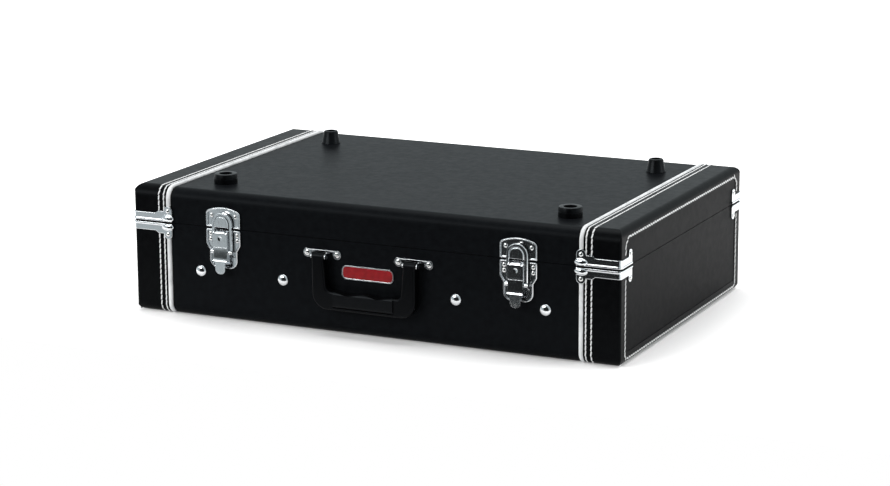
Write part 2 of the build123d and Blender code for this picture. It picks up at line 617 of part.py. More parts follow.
def cross_screw(x):
    """Pan head of a cross-head screw on the right bracket."""
    head = extrude(RegularPolygon(BRACKET_SCREW_RADIUS, RIVET_SIDES), RIVET_HEAD_HEIGHT, taper=RIVET_TAPER)
    cross = Rectangle(BRACKET_SCREW_RADIUS, SCREW_SLOT) + Rectangle(SCREW_SLOT, BRACKET_SCREW_RADIUS)
    recess = Pos(0, 0, RIVET_HEAD_HEIGHT - SCREW_RECESS) * extrude(cross, RIVET_HEAD_HEIGHT)
    return Plane(origin=(x, FRONT - BRACKET_METAL, SCREW_Z), z_dir=(0, -1, 0)) * (head - recess)


def handle_frame():
    """Moulded U of the handle: two arms and the core that the grip is moulded round."""
    outer_x = BRACKET_X + ARM_WIDTH / 2
    inner_x = outer_x - ARM_WIDTH
    top = PIVOT_Z
    outside = Pos(0, (top + HANDLE_BOTTOM) / 2) * Rectangle(2 * outer_x, top - HANDLE_BOTTOM)
    outside = fillet(outside.vertices().group_by(Axis.Y)[0], HANDLE_CORNER)
    low_x = inner_x - OPENING_TAPER
    inside = make_face(Polyline(
        (-inner_x, top), (-low_x, OPENING_BOTTOM), (low_x, OPENING_BOTTOM), (inner_x, top), close=True))
    inside = fillet(inside.vertices().group_by(Axis.Y)[0], OPENING_CORNER)
    out0 = HANDLE_PIVOT_OUT - ARM_THICKNESS / 2
    out1 = HANDLE_PIVOT_OUT + ARM_THICKNESS / 2
    arms = front_plate(outside - inside, out0, out1)
    arms = fillet(arms.faces().sort_by(Axis.Y)[0].edges().filter_by(lambda e: e.center().Z < top - 1), HANDLE_EASE)
    for side in (-1, 1):
        x0 = side * BRACKET_X - ARM_WIDTH / 2
        eye = rod(x0, FRONT - HANDLE_PIVOT_OUT, top, ARM_THICKNESS / 2, ARM_WIDTH, (1, 0, 0))
        arms = arms + eye
    half = GRIP_LENGTH / 2
    arms = arms - slab(-half, half, -FAR, FAR, GRIP_BOTTOM, OPENING_BOTTOM + 1)
    arms = arms + handle_core(half)
    for bore in both_sides(handle_pin_rod(HANDLE_PIN_RADIUS + PIN_RUNNING)):
        arms = arms - bore
    return arms


def handle_core(half):
    """Square core between the arms, inside the grip."""
    middle = (GRIP_BOTTOM + OPENING_BOTTOM - GRIP_WAVE) / 2
    y = FRONT - HANDLE_PIVOT_OUT
    return slab(-half, half, y - CORE_THICKNESS / 2, y + CORE_THICKNESS / 2,
                middle - CORE_HEIGHT / 2, middle + CORE_HEIGHT / 2)


def handle_grip():
    """Soft grip with finger waves along its upper edge."""
    half = GRIP_LENGTH / 2
    spare = 2
    count = 4 * GRIP_WAVES
    step = GRIP_LENGTH / count
    waves = [(-half + i * step, OPENING_BOTTOM - GRIP_WAVE * (1 + cos(pi + 2 * pi * i * GRIP_WAVES / count)) / 2)
             for i in range(-spare, count + spare + 1)]
    below = GRIP_BOTTOM - GRIP_THICKNESS
    rest = Polyline(waves[-1], (waves[-1][0], below), (waves[0][0], below), waves[0])
    out0 = HANDLE_PIVOT_OUT - GRIP_THICKNESS
    profile = front_plate(make_face(Spline(*waves) + rest), out0, out0 + 2 * GRIP_THICKNESS)
    top = OPENING_BOTTOM + GRIP_WAVE / 4
    section = Pos(FRONT - HANDLE_PIVOT_OUT, (GRIP_BOTTOM + top) / 2) * RectangleRounded(
        GRIP_THICKNESS, top - GRIP_BOTTOM, GRIP_RADIUS)
    return (profile & prism(section, -half, half)) - handle_core(half)


# ---- front bolts and rail ----
def dome_bolt(x):
    """Dome-headed bolt through the front wall and the rail."""
    plane = Plane(origin=(x, FRONT, STUD_HEIGHT), z_dir=(0, -1, 0))
    radius = (STUD_RADIUS**2 + STUD_DOME**2) / (2 * STUD_DOME)
    dome = Pos(0, 0, STUD_DOME - radius) * Sphere(radius) & Pos(0, 0, radius) * Box(FAR, FAR, 2 * radius)
    length = COVERING + PLY + RAIL_THICKNESS + WASHER + NUT_HEIGHT + SCREW_TIP
    return plane * (dome + extrude(-Plane.XY * Circle(STUD_SHANK_RADIUS), length))


def rail_nut(x):
    """Washer and nut on the inside of the rail."""
    y = FRONT + COVERING + PLY + RAIL_THICKNESS
    plane = Plane(origin=(x, y, STUD_HEIGHT), z_dir=(0, 1, 0))
    washer = extrude(Circle(WASHER_RADIUS), WASHER)
    nut = Pos(0, 0, WASHER) * extrude(RegularPolygon(NUT_ACROSS / 2, 6, major_radius=False), NUT_HEIGHT)
    return plane * (washer + nut - Cylinder(STUD_SHANK_RADIUS, FAR))


def front_rail():
    """Hardwood rail along the inside of the front wall."""
    y = FRONT + COVERING + PLY
    half = max(STUD_X) + RAIL_OVERHANG
    rail = slab(-half, half, y, y + RAIL_THICKNESS, STUD_HEIGHT - RAIL_HEIGHT / 2, STUD_HEIGHT + RAIL_HEIGHT / 2)
    edges = rail.faces().sort_by(Axis.Y)[-1].edges().filter_by(Axis.X)
    return fillet(edges, RAIL_THICKNESS / 5) - bolt_holes()


# ---- hinges ----
def hinge_leaf(up):
    """Leaf with its knuckles: the even ones on the base (up = -1), the odd ones on the lid (up = 1)."""
    x0 = HINGE_X - HINGE_WIDTH / 2
    back = CASE_DEPTH / 2
    start = HINGE_KNUCKLE + 0.3
    z0, z1 = sorted((SEAM_HEIGHT + up * start, SEAM_HEIGHT + up * HINGE_LEAF))
    leaf = slab(x0, x0 + HINGE_WIDTH, back, back + HINGE_METAL, z0, z1)
    far_corners = leaf.edges().filter_by(Axis.Y).sort_by(Axis.Z)
    leaf = fillet(far_corners[-2:] if up > 0 else far_corners[:2], 4.0)
    pitch = HINGE_WIDTH / HINGE_KNUCKLES
    y = back + HINGE_STANDOFF
    running = PIN_RUNNING if up > 0 else 0.0
    for i in range(HINGE_KNUCKLES):
        if (i % 2 == 1) != (up > 0):
            continue
        k0 = x0 + i * pitch + HINGE_KNUCKLE_GAP / 2
        length = pitch - HINGE_KNUCKLE_GAP
        knuckle = rod(k0, y, SEAM_HEIGHT, HINGE_KNUCKLE, length, (1, 0, 0))
        near, far = sorted((SEAM_HEIGHT, SEAM_HEIGHT + up * (start + 1.0)))
        neck = slab(k0, k0 + length, back + 0.4, back + HINGE_METAL, near, far)
        neck = neck & slab(-FAR, FAR, -FAR, FAR, *sorted((SEAM_HEIGHT + up * 0.4, SEAM_HEIGHT + up * FAR)))
        leaf = leaf + knuckle + neck
    return leaf - rod(x0 - 1, y, SEAM_HEIGHT, HINGE_PIN_RADIUS + running, HINGE_WIDTH + 2, (1, 0, 0))


def hinge_pin():
    """Pin through all the knuckles, fast in those of the base."""
    x0 = HINGE_X - HINGE_WIDTH / 2
    y = CASE_DEPTH / 2 + HINGE_STANDOFF
    return rod(x0, y, SEAM_HEIGHT, HINGE_PIN_RADIUS, HINGE_WIDTH, (1, 0, 0))


# ---- feet ----
def foot(x, y, size, well, bevel):
    """Rubber foot with a screw well in its top."""
    base, top, height = size
    body = Pos(0, 0, height / 2) * Cone(base, top, height)
    body = fillet(body.edges().sort_by(Axis.Z)[-1], bevel)
    radius, depth = well
    body = body - Pos(0, 0, height) * Cylinder(radius, 2 * depth) - Cylinder(FOOT_SCREW_RADIUS, FAR)
    return Pos(x, y, CASE_HEIGHT) * body


def foot_screw(x, y, size, well):
    """Screw from the foot's well through the lid into the nut."""
    head_radius, head = FOOT_SCREW_HEAD
    floor = size[2] - well[1]
    length = floor + COVERING + PLY + DECK_BOARD - SKIN_CLEARANCE
    shank = rod(x, y, CASE_HEIGHT + floor, FOOT_SCREW_RADIUS, length, (0, 0, -1))
    return shank + rod(x, y, CASE_HEIGHT + floor, head_radius, head, (0, 0, 1))


def foot_nut(x, y):
    """Hexagonal nut let into the deck board, under the lid's top panel."""
    nut = extrude(RegularPolygon(FOOT_NUT_RADIUS, 6) - Circle(FOOT_SCREW_RADIUS), -(DECK_BOARD - FOOT_NUT_SINK))
    return Pos(x, y, CEILING_Z) * nut


# ---- inside ----
def deck():
    """Deck board under the lid's top panel, and the loop carpet on it."""
    half_x = INNER_X - DECK_CLEARANCE
    half_y = INNER_Y - DECK_CLEARANCE
    z = CEILING_Z - DECK_BOARD
    radius = FOOT_NUT_RADIUS + HOLE_CLEARANCE
    pockets = Compound(children=[rod(x, y, CEILING_Z + 1, radius, FAR, (0, 0, -1)) for x, y in FOOT_PLACES])
    board = slab(-half_x, half_x, -half_y, half_y, z, CEILING_Z) - pockets
    carpet = slab(-half_x, half_x, -half_y, half_y, z - DECK_CARPET, z) - pockets
    return board, carpet


def floor_pad():
    """Foam pad on the floor of the deep half."""
    half_x = INNER_X - PAD_CLEARANCE
    half_y = INNER_Y - PAD_CLEARANCE
    pad = slab(-half_x, half_x, -half_y, half_y, FLOOR_Z + SKIN_CLEARANCE, FLOOR_Z + PAD_THICKNESS)
    return fillet(pad.faces().sort_by(Axis.Z)[-1].edges(), PAD_THICKNESS / 4)


# ---- badge ----
def badge():
    """Blank enamelled badge with a raised rim."""
    face = Pos(0, SEAM_HEIGHT - BADGE_DROP) * RectangleRounded(BADGE_WIDTH, BADGE_HEIGHT, BADGE_HEIGHT / 2.6)
    plate = front_plate(face, 0, BADGE_THICKNESS)
    return plate + front_plate(face - offset(face, -BADGE_RIM), BADGE_THICKNESS, 1.5 * BADGE_THICKNESS)


# ---- put the case together ----
def build():
    """All nodes by name."""
    nodes = {}
    body = carcass()
    base_cuts = bolt_holes()
    lid_cuts = foot_holes()
    names = ("front_panel", "back_panel", "bottom_panel", "left_end_panel", "right_end_panel")
    for name, panel in zip(names, shell_panels(body, base_half, FLOOR_Z, base_cuts)):
        nodes["base_" + name] = panel
    names = ("front_panel", "back_panel", "top_panel", "left_end_panel", "right_end_panel")
    for name, panel in zip(names, shell_panels(body, lid_half, CEILING_Z, lid_cuts)):
        nodes["lid_" + name] = panel

    sleeve = centre_covering(body)
    low = base_half(sleeve)
    lip = CASE_DEPTH / 2 - COVER_LIP
    nodes["base_front_covering"] = (low & slab(-FAR, FAR, -FAR, -lip, -FAR, FAR)) - base_cuts
    nodes["base_back_covering"] = low & slab(-FAR, FAR, lip, FAR, -FAR, FAR)
    nodes["base_bottom_covering"] = low & slab(-FAR, FAR, -lip, lip, -FAR, FAR)
    nodes["lid_covering"] = lid_half(sleeve) - lid_cuts

    band = end_band(body)
    for name, half in (("base", base_half), ("lid", lid_half)):
        nodes[name + "_left_band"] = half(mirror(band, about=Plane.YZ))
        nodes[name + "_right_band"] = half(band)
        nodes[name + "_end_skins"] = group(both_sides(half(end_skin())))

    drop = CLIP_LOBE_DROP + CLIP_LOBE_RADIUS + SKIN_CLEARANCE
    lower = piping(body, SEAM_HEIGHT - drop, PIPING_RADIUS, EDGE_RADIUS - PIPING_RADIUS)
    upper = piping(body, SEAM_HEIGHT + drop, CASE_HEIGHT, EDGE_RADIUS)
    nodes["base_pipings"] = group(both_sides(lower))
    nodes["lid_pipings"] = group(both_sides(upper))

    clip = corner_clip()
    seam = Plane.XY.offset(SEAM_HEIGHT)
    nodes["base_corner_clips"] = group(four_corners(clip))
    nodes["lid_corner_clips"] = group(four_corners(mirror(clip, about=seam)))

    nodes["base_rivets"] = rivets(-1, LATCH_RIVETS)
    nodes["lid_rivets"] = rivets(1, KEEPER_RIVETS)

    lever_pin = latch_axis_rod(PIN_RADIUS, LEVER_HALF - 0.2, LEVER_PIVOT_OUT, LEVER_Z)
    pieces = {"latch_keeper": keeper(), "latch_plate": latch_plate(), "latch_lever": latch_lever(),
              "latch_lever_pin": lever_pin, "latch_loop": latch_loop(), "latch_loop_pin": loop_pin()}
    for name, piece in pieces.items():
        nodes[name + "_left"] = Pos(-LATCH_X, 0, 0) * piece
        nodes[name + "_right"] = Pos(LATCH_X, 0, 0) * piece

    nodes["handle_brackets"] = group(both_sides(handle_bracket()))
    nodes["handle_pins"] = group(both_sides(handle_pin_rod(HANDLE_PIN_RADIUS)))
    nodes["handle_screws"] = group([screw for x in SCREW_X for screw in both_sides(cross_screw(x))])
    nodes["handle_frame"] = handle_frame()
    nodes["handle_grip"] = handle_grip()

    nodes["front_bolts"] = group([b for x in STUD_X for b in both_sides(dome_bolt(x))])
    nodes["front_rail"] = front_rail()
    nodes["front_bolt_nuts"] = group([n for x in STUD_X for n in both_sides(rail_nut(x))])

    nodes["base_hinge_leaves"] = group(both_sides(hinge_leaf(-1)))
    nodes["lid_hinge_leaves"] = group(both_sides(hinge_leaf(1)))
    nodes["hinge_pins"] = group(both_sides(hinge_pin()))

    low_places = FOOT_PLACES[::2]
    tall_places = FOOT_PLACES[1::2]
    nodes["front_feet"] = group([foot(x, y, LOW_FOOT, LOW_WELL, LOW_BEVEL) for x, y in low_places])
    nodes["rear_feet"] = group([foot(x, y, TALL_FOOT, TALL_WELL, TALL_BEVEL) for x, y in tall_places])
    nodes["foot_screws"] = group(
        [foot_screw(x, y, LOW_FOOT, LOW_WELL) for x, y in low_places]
        + [foot_screw(x, y, TALL_FOOT, TALL_WELL) for x, y in tall_places])
    nodes["foot_nuts"] = group([foot_nut(x, y) for x, y in FOOT_PLACES])

    nodes["deck_board"], nodes["deck_carpet"] = deck()
    nodes["floor_pad"] = floor_pad()
    nodes["badge"] = badge()
    return nodes


os.makedirs("parts", exist_ok=True)
for node_name, node_shape in build().items():
    export_step(node_shape, f"parts/{node_name}.step")
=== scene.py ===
import bmesh
import bpy
import random
from math import cos, pi, radians, sin, sqrt, tau
from mathutils import Euler, Matrix, Vector


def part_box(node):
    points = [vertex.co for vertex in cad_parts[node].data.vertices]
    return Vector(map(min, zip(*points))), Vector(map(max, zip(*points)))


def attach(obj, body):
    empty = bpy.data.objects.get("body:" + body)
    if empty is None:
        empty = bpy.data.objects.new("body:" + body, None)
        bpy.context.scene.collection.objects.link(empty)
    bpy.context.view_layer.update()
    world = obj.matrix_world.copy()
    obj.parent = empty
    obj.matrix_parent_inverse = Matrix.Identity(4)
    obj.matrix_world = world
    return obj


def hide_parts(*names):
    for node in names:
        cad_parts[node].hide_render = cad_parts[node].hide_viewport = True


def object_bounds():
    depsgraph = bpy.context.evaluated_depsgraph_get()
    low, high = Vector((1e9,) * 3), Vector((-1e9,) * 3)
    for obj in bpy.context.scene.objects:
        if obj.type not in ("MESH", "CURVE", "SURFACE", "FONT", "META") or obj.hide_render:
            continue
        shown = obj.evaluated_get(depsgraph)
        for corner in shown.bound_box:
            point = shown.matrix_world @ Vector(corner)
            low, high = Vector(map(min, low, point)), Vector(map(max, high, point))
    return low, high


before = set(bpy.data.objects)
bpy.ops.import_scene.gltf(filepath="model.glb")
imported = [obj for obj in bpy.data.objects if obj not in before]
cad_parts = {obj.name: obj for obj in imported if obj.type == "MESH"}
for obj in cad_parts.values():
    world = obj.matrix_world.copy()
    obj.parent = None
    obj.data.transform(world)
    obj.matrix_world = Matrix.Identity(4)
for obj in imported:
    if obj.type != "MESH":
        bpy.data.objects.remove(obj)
cad_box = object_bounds()
MM = 0.001


# ----------------------------------------------
# Plywood carcass.  Nine-millimetre panels glued and mitred, stained black before covering, so that only the
# sawn rims at the seam and the inside show wood.  The two halves are "base" and "lid".
# ----------------------------------------------
PLY_STAIN = "#1b1714"
PLY_FACE = "#3a2d22"
PLY_VENEER = 1.5 * MM
PLY_FIGURE = 1000 / 12 * MM     # run of the figure along a panel
PLY_RELIEF = 0.2 * MM
LINING = "#0d0d0e"
LINING_BRUSHED = "#161617"
LINING_NAP = 1.2 * MM
LINING_DRIFT = 40.0 * MM
LINING_RELIEF = 0.3 * MM
FACING = 0.9                    # cosine, above which a face looks inward


def linear(hex_colour):
    """A linear RGBA colour from an sRGB hex value."""
    channels = [int(hex_colour[i:i + 2], 16) / 255 for i in (1, 3, 5)]
    return [c / 12.92 if c <= 0.04045 else ((c + 0.055) / 1.055) ** 2.4 for c in channels] + [1.0]


def start_material(name):
    """A new node material, returned with its tree, its surface shader and its position in metres."""
    material = bpy.data.materials.new(name)
    material.use_nodes = True
    tree = material.node_tree
    place = add(tree, "ShaderNodeTexCoord").outputs["Object"]
    return material, tree, tree.nodes["Principled BSDF"], place


def connect(tree, node, inputs):
    """Sets or links a node's inputs, which are named or numbered."""
    for key, value in inputs.items():
        if isinstance(value, bpy.types.NodeSocket):
            tree.links.new(value, node.inputs[key])
        else:
            node.inputs[key].default_value = value


def add(tree, kind, settings=None, inputs=None, stops=()):
    """Adds a node with its settings, its inputs and, on a colour ramp, its (position, colour) stops."""
    node = tree.nodes.new(kind)
    for key, value in (settings or {}).items():
        setattr(node, key, value)
    connect(tree, node, inputs or {})
    if stops:
        elements = node.color_ramp.elements
        while len(elements) < len(stops):
            elements.new(0.5)
        for element, (position, colour) in zip(elements, stops):
            element.position = position
            element.color = colour
    return node


def dress(material, *names):
    """Gives a material to CAD nodes that keep their own shape."""
    for name in names:
        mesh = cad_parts[name].data
        mesh.materials.clear()
        mesh.materials.append(material)


# Black-stained lauan plywood, sawn: dull brown black with veneer lines that run along each panel.
stained_plywood, tree, shader, place = start_material("stained_plywood")
stretched = add(tree, "ShaderNodeMapping", {}, {
    "Vector": place, "Scale": (1 / PLY_FIGURE, 1 / PLY_FIGURE, 1 / PLY_VENEER)})
grain = add(tree, "ShaderNodeTexNoise", {}, {"Vector": stretched.outputs[0], "Scale": 1.0, "Detail": 4.0})
stain = add(tree, "ShaderNodeValToRGB", {}, {"Fac": grain.outputs["Fac"]}, [
    (0.3, linear(PLY_STAIN)), (0.75, linear(PLY_FACE))])
connect(tree, shader, {
    "Base Color": stain.outputs["Color"],
    "Roughness": 0.8,
    "Normal": add(tree, "ShaderNodeBump", {}, {
        "Height": grain.outputs["Fac"], "Strength": 0.4, "Distance": PLY_RELIEF}).outputs[0],
})

# Black brushed-nylon lining, glued to the inside of the walls: a deep, soft black with a short uneven nap.
nylon_lining, tree, shader, place = start_material("brushed_nylon_lining")
nap = add(tree, "ShaderNodeTexNoise", {}, {"Vector": place, "Scale": 1 / LINING_NAP, "Detail": 4.0})
lay = add(tree, "ShaderNodeTexNoise", {}, {"Vector": place, "Scale": 1 / LINING_DRIFT, "Detail": 2.0})
brushed = add(tree, "ShaderNodeValToRGB", {}, {"Fac": lay.outputs["Fac"]}, [
    (0.3, linear(LINING)), (0.7, linear(LINING_BRUSHED))])
connect(tree, shader, {
    "Base Color": brushed.outputs["Color"],
    "Roughness": 0.95,
    "IOR": 1.3,
    "Sheen Weight": 0.25,
    "Sheen Roughness": 0.5,
    "Normal": add(tree, "ShaderNodeBump", {}, {
        "Height": nap.outputs["Fac"], "Strength": 0.6, "Distance": LINING_RELIEF}).outputs[0],
})
middle = sum((Vector(corner) for corner in cad_box), Vector()) / 2
for name in [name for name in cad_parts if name.endswith("_panel")]:
    dress(stained_plywood, name)
    low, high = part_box(name)
    size = high - low
    thin = min(range(3), key=lambda i: size[i])
    inward = 1 if (low[thin] + high[thin]) / 2 < middle[thin] else -1
    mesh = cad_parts[name].data
    mesh.materials.append(nylon_lining)
    for face in mesh.polygons:
        if face.normal[thin] * inward > FACING:
            face.material_index = 1


# ----------------------------------------------
# Centre covering.  Black PVC leatherette on a cloth backing, embossed with a small pebble grain, glued over
# the middle of both halves and turned in at the seam.
# ----------------------------------------------
LEATHERETTE = "#0a0b0d"
LEATHERETTE_WORN = "#0f1113"
# the next colour is a cool tint painted onto the reflections of the black leatherette and moulded parts,
# standing in for bluish light
PAINTED_COOL_SHEEN = "#dfe9f0"
PEBBLE = 1.1 * MM
PEBBLE_RELIEF = 0.12 * MM
CREASE = 9.0 * MM
CREASE_RELIEF = 0.6 * MM
ROUGHNESS_DRIFT = 0.03


def leatherette(name, colour, worn, roughness, pebble_depth, ior):
    """Embossed PVC: near black, with a soft sheen that brightens where it is seen at a low angle, and a
    painted cool tint on that sheen.
    """
    material, tree, shader, place = start_material(name)
    cells = add(tree, "ShaderNodeTexVoronoi", {"feature": "SMOOTH_F1"}, {
        "Vector": place, "Scale": 1 / PEBBLE, "Smoothness": 0.6, "Randomness": 1.0})
    drift = add(tree, "ShaderNodeTexNoise", {}, {"Vector": place, "Scale": 1 / CREASE, "Detail": 3.0})
    fine = add(tree, "ShaderNodeBump", {}, {
        "Height": cells.outputs["Distance"], "Strength": pebble_depth, "Distance": PEBBLE_RELIEF})
    broad = add(tree, "ShaderNodeBump", {}, {
        "Height": drift.outputs["Fac"], "Strength": 0.12, "Distance": CREASE_RELIEF,
        "Normal": fine.outputs[0]})
    rough = add(tree, "ShaderNodeMapRange", {}, {
        "Value": drift.outputs["Fac"], "From Min": 0.3, "From Max": 0.7,
        "To Min": roughness - ROUGHNESS_DRIFT, "To Max": roughness + ROUGHNESS_DRIFT})
    wear = add(tree, "ShaderNodeValToRGB", {}, {"Fac": drift.outputs["Fac"]}, [
        (0.3, linear(colour)), (0.8, linear(worn))])
    connect(tree, shader, {
        "Base Color": wear.outputs["Color"],
        "Roughness": rough.outputs[0],
        "IOR": ior,
        # painted cool tint on the reflections
        "Specular Tint": linear(PAINTED_COOL_SHEEN),
        "Normal": broad.outputs[0],
    })
    return material


centre_leatherette = leatherette(
    "pebbled_pvc_leatherette", LEATHERETTE, LEATHERETTE_WORN, roughness=0.40, pebble_depth=0.4, ior=1.10)
dress(centre_leatherette, "base_front_covering", "base_back_covering", "base_bottom_covering",
      "lid_covering")


# ----------------------------------------------
# End bands and end skins.  A smoother leatherette band wraps each end of both halves and folds over the
# end, where a skin fills the middle.  Each is sewn down with thick white polyester thread.
# ----------------------------------------------
BAND_COLOUR = "#050506"
BAND_WORN = "#090a0b"
band_leatherette = leatherette(
    "smooth_pvc_leatherette", BAND_COLOUR, BAND_WORN, roughness=0.36, pebble_depth=0.2, ior=1.11)
skin_leatherette = leatherette(
    "matt_pvc_leatherette", BAND_COLOUR, BAND_WORN, roughness=0.42, pebble_depth=0.3, ior=1.09)
dress(band_leatherette, "base_left_band", "base_right_band", "lid_left_band", "lid_right_band")
dress(skin_leatherette, "base_end_skins", "lid_end_skins")

THREAD = "#f0f1f1"
THREAD_SHADE = "#d4d6d7"
THREAD_TWIST = 1.2 * MM
THREAD_RELIEF = 0.2 * MM
STITCH_LENGTH = 7.4 * MM
STITCH_PITCH = 7.2 * MM
STITCH_HALF_WIDTH = 1.0 * MM
STITCH_HEIGHT = 0.7 * MM
STITCH_SINK = 0.15 * MM
STITCH_TIP = 0.2                            # thickness left at a stitch's ends, as a share
STITCH_POWER = 6                            # the higher, the fuller a stitch stays towards its ends
STITCH_SLANT = 0.4 * MM                     # sideways from a stitch's middle to its end
SLANT_SPREAD = (0.5, 1.5)                   # shares of the slant between which stitches vary
STITCH_RINGS = 6
STITCH_FACETS = 5
END_STITCH_SLANT = 0.9 * MM
END_STITCH_HALF_WIDTH = 1.35 * MM
BAND_ROWS = (6.6 * MM, 14.2 * MM)           # from the piping's centre line, towards the end
PIPING_BEAD = 3.1 * MM                      # radius
EDGE_RADIUS = 15.0 * MM                     # the long front and back edges
END_EDGE_RADIUS = 10.0 * MM                 # top and bottom edges of the ends
BOTTOM_TURN = 70                            # degrees of each bottom edge that a row follows
END_ROW_SIDE = 16.8 * MM                    # from the front or back face
END_ROW_TOP = 11.5 * MM
END_ROW_BOTTOM = 7.5 * MM
END_ROW_CORNER = 9.0 * MM
TACK_LENGTH = 9.0 * MM
TACK_INSET = 3.0 * MM                       # from the front or back face
TACK_RISE = 2.6 * MM
CLIP_REACH = 15.5 * MM                      # the rows stop here, under the seam clips

base_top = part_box("base_right_band")[1].z
lid_low, lid_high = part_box("lid_right_band")
band_face = -lid_low.y
case_end = lid_high.x
top_face = lid_high.z
seam = (base_top + lid_low.z) / 2
piping_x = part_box("base_pipings")[1].x - PIPING_BEAD


def new_piece(name, build, material, body):
    """An object from a bmesh that build fills in, shaded smooth, riding on a body."""
    mesh = bpy.data.meshes.new(name)
    shape = bmesh.new()
    build(shape)
    bmesh.ops.recalc_face_normals(shape, faces=shape.faces)
    shape.to_mesh(mesh)
    shape.free()
    for face in mesh.polygons:
        face.use_smooth = True
    piece = bpy.data.objects.new(name, mesh)
    bpy.context.scene.collection.objects.link(piece)
    mesh.materials.append(material)
    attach(piece, body)
    return piece


def along(points, spacing):
    """Places at even steps along a broken line, each with its direction."""
    lengths = [(b - a).length for a, b in zip(points, points[1:])]
    count = max(1, int(sum(lengths) / spacing))
    places = []
    for i in range(count):
        rest = (i + 0.5) * sum(lengths) / count
        for a, b, length in zip(points, points[1:], lengths):
            if rest <= length:
                places.append((a.lerp(b, rest / length), (b - a).normalized()))
                break
            rest -= length
    return places


def add_stitch(shape, centre, run, out, half_width, wander):
    """One stitch: a flat-bottomed lens of thread, its ends pulled down into the cover."""
    across = run.cross(out)
    rings = []
    for step in range(STITCH_RINGS + 1):
        t = step / STITCH_RINGS * 2 - 1
        fullness = sqrt(max(0.0, 1 - t**STITCH_POWER)) * (1 - STITCH_TIP) + STITCH_TIP
        middle = centre + run * (t * STITCH_LENGTH / 2) + across * (wander * t)
        ring = []
        for k in range(STITCH_FACETS + 1):
            angle = pi * k / STITCH_FACETS
            ring.append(shape.verts.new(
                middle + across * (cos(angle) * half_width * fullness)
                + out * (sin(angle) * STITCH_HEIGHT * fullness - STITCH_SINK)))
        rings.append(ring)
    for a, b in zip(rings, rings[1:]):
        for k in range(STITCH_FACETS):
            shape.faces.new((a[k], a[k + 1], b[k + 1], b[k]))
    shape.faces.new(rings[0])
    shape.faces.new(list(reversed(rings[-1])))


def arc(centre, radius, start, end, steps=8):
    """Points (y, z) of an arc; angles in degrees from +y."""
    turns = [radians(start + (end - start) * i / steps) for i in range(steps + 1)]
    return [(centre[0] + radius * cos(turn), centre[1] + radius * sin(turn)) for turn in turns]


def sew(name, rows, half_width, slant, body):
    """Makes a piece with a row of stitches along each (points, outward direction at a point)."""
    rng = random.Random(name)

    def build(shape):
        for points, outward in rows:
            for centre, run in along(points, STITCH_PITCH):
                wander = slant * rng.uniform(*SLANT_SPREAD)
                add_stitch(shape, centre, run, outward(centre), half_width, wander)

    new_piece(name, build, sewing_thread, body)


# Bonded polyester thread: off-white, matt, with the shadow of its twist.
sewing_thread, tree, shader, place = start_material("white_polyester_thread")
twist = add(tree, "ShaderNodeTexNoise", {}, {"Vector": place, "Scale": 1 / THREAD_TWIST, "Detail": 2.0})
thread_tone = add(tree, "ShaderNodeValToRGB", {}, {"Fac": twist.outputs["Fac"]}, [
    (0.3, linear(THREAD_SHADE)), (0.6, linear(THREAD))])
connect(tree, shader, {
    "Base Color": thread_tone.outputs["Color"],
    "Roughness": 0.65,
    "Normal": add(tree, "ShaderNodeBump", {}, {
        "Height": twist.outputs["Fac"], "Strength": 0.5, "Distance": THREAD_RELIEF}).outputs[0],
})

upper_section = (
    [(-band_face, seam + CLIP_REACH)]
    + arc((-band_face + EDGE_RADIUS, top_face - EDGE_RADIUS), EDGE_RADIUS, 180, 90)
    + arc((band_face - EDGE_RADIUS, top_face - EDGE_RADIUS), EDGE_RADIUS, 90, 0)
    + [(band_face, seam + CLIP_REACH)])
lower_section = (
    [(-band_face, seam - CLIP_REACH)]
    + arc((-band_face + EDGE_RADIUS, EDGE_RADIUS), EDGE_RADIUS, 180, 180 + BOTTOM_TURN)
    + [(0.0, 0.0)]
    + arc((band_face - EDGE_RADIUS, EDGE_RADIUS), EDGE_RADIUS, 360 - BOTTOM_TURN, 360)
    + [(band_face, seam - CLIP_REACH)])


def section_out(point):
    """Outward direction of the band's surface at a point of its section."""
    y = max(0.0, abs(point.y) - (band_face - EDGE_RADIUS)) * (1 if point.y > 0 else -1)
    z_high = max(0.0, point.z - (top_face - EDGE_RADIUS))
    z_low = max(0.0, EDGE_RADIUS - point.z)
    return Vector((0.0, y, z_high - z_low)).normalized()


def band_rows(section):
    """The stitched rows of both bands along a section."""
    return [([Vector((side * (piping_x + row), y, z)) for y, z in section], section_out)
            for side in (-1, 1) for row in BAND_ROWS]


def end_point(side, y, z):
    """A point of an end's surface, which curves in towards its top and bottom edges."""
    into_edge = max(0.0, z - (top_face - END_EDGE_RADIUS), END_EDGE_RADIUS - z)
    return Vector((side * (case_end - END_EDGE_RADIUS + sqrt(END_EDGE_RADIUS**2 - into_edge**2)), y, z))


def end_rows(section):
    """The stitched row on both ends along a section."""
    return [([end_point(side, y, z) for y, z in section], lambda point, side=side: Vector((side, 0.0, 0.0)))
            for side in (-1, 1)]


end_y = band_face - END_ROW_SIDE
end_top = top_face - END_ROW_TOP
low_corner = END_ROW_CORNER / 2
upper_end = [
    (-end_y, seam + CLIP_REACH), (-end_y, end_top - END_ROW_CORNER), (-end_y + END_ROW_CORNER, end_top),
    (end_y - END_ROW_CORNER, end_top), (end_y, end_top - END_ROW_CORNER), (end_y, seam + CLIP_REACH)]
lower_end = [
    (-end_y, seam - CLIP_REACH), (-end_y, END_ROW_BOTTOM + low_corner),
    (-end_y + low_corner, END_ROW_BOTTOM), (end_y - low_corner, END_ROW_BOTTOM),
    (end_y, END_ROW_BOTTOM + low_corner), (end_y, seam - CLIP_REACH)]
tack_x = case_end - END_EDGE_RADIUS / 4
tack_y = band_face - TACK_INSET
tacks = [
    ([Vector((side * tack_x, front * (tack_y - run), TACK_RISE)) for run in (0.0, TACK_LENGTH)],
     lambda point, side=side: Vector((side, 0.0, -1.0)).normalized())
    for side in (-1, 1) for front in (-1, 1)]
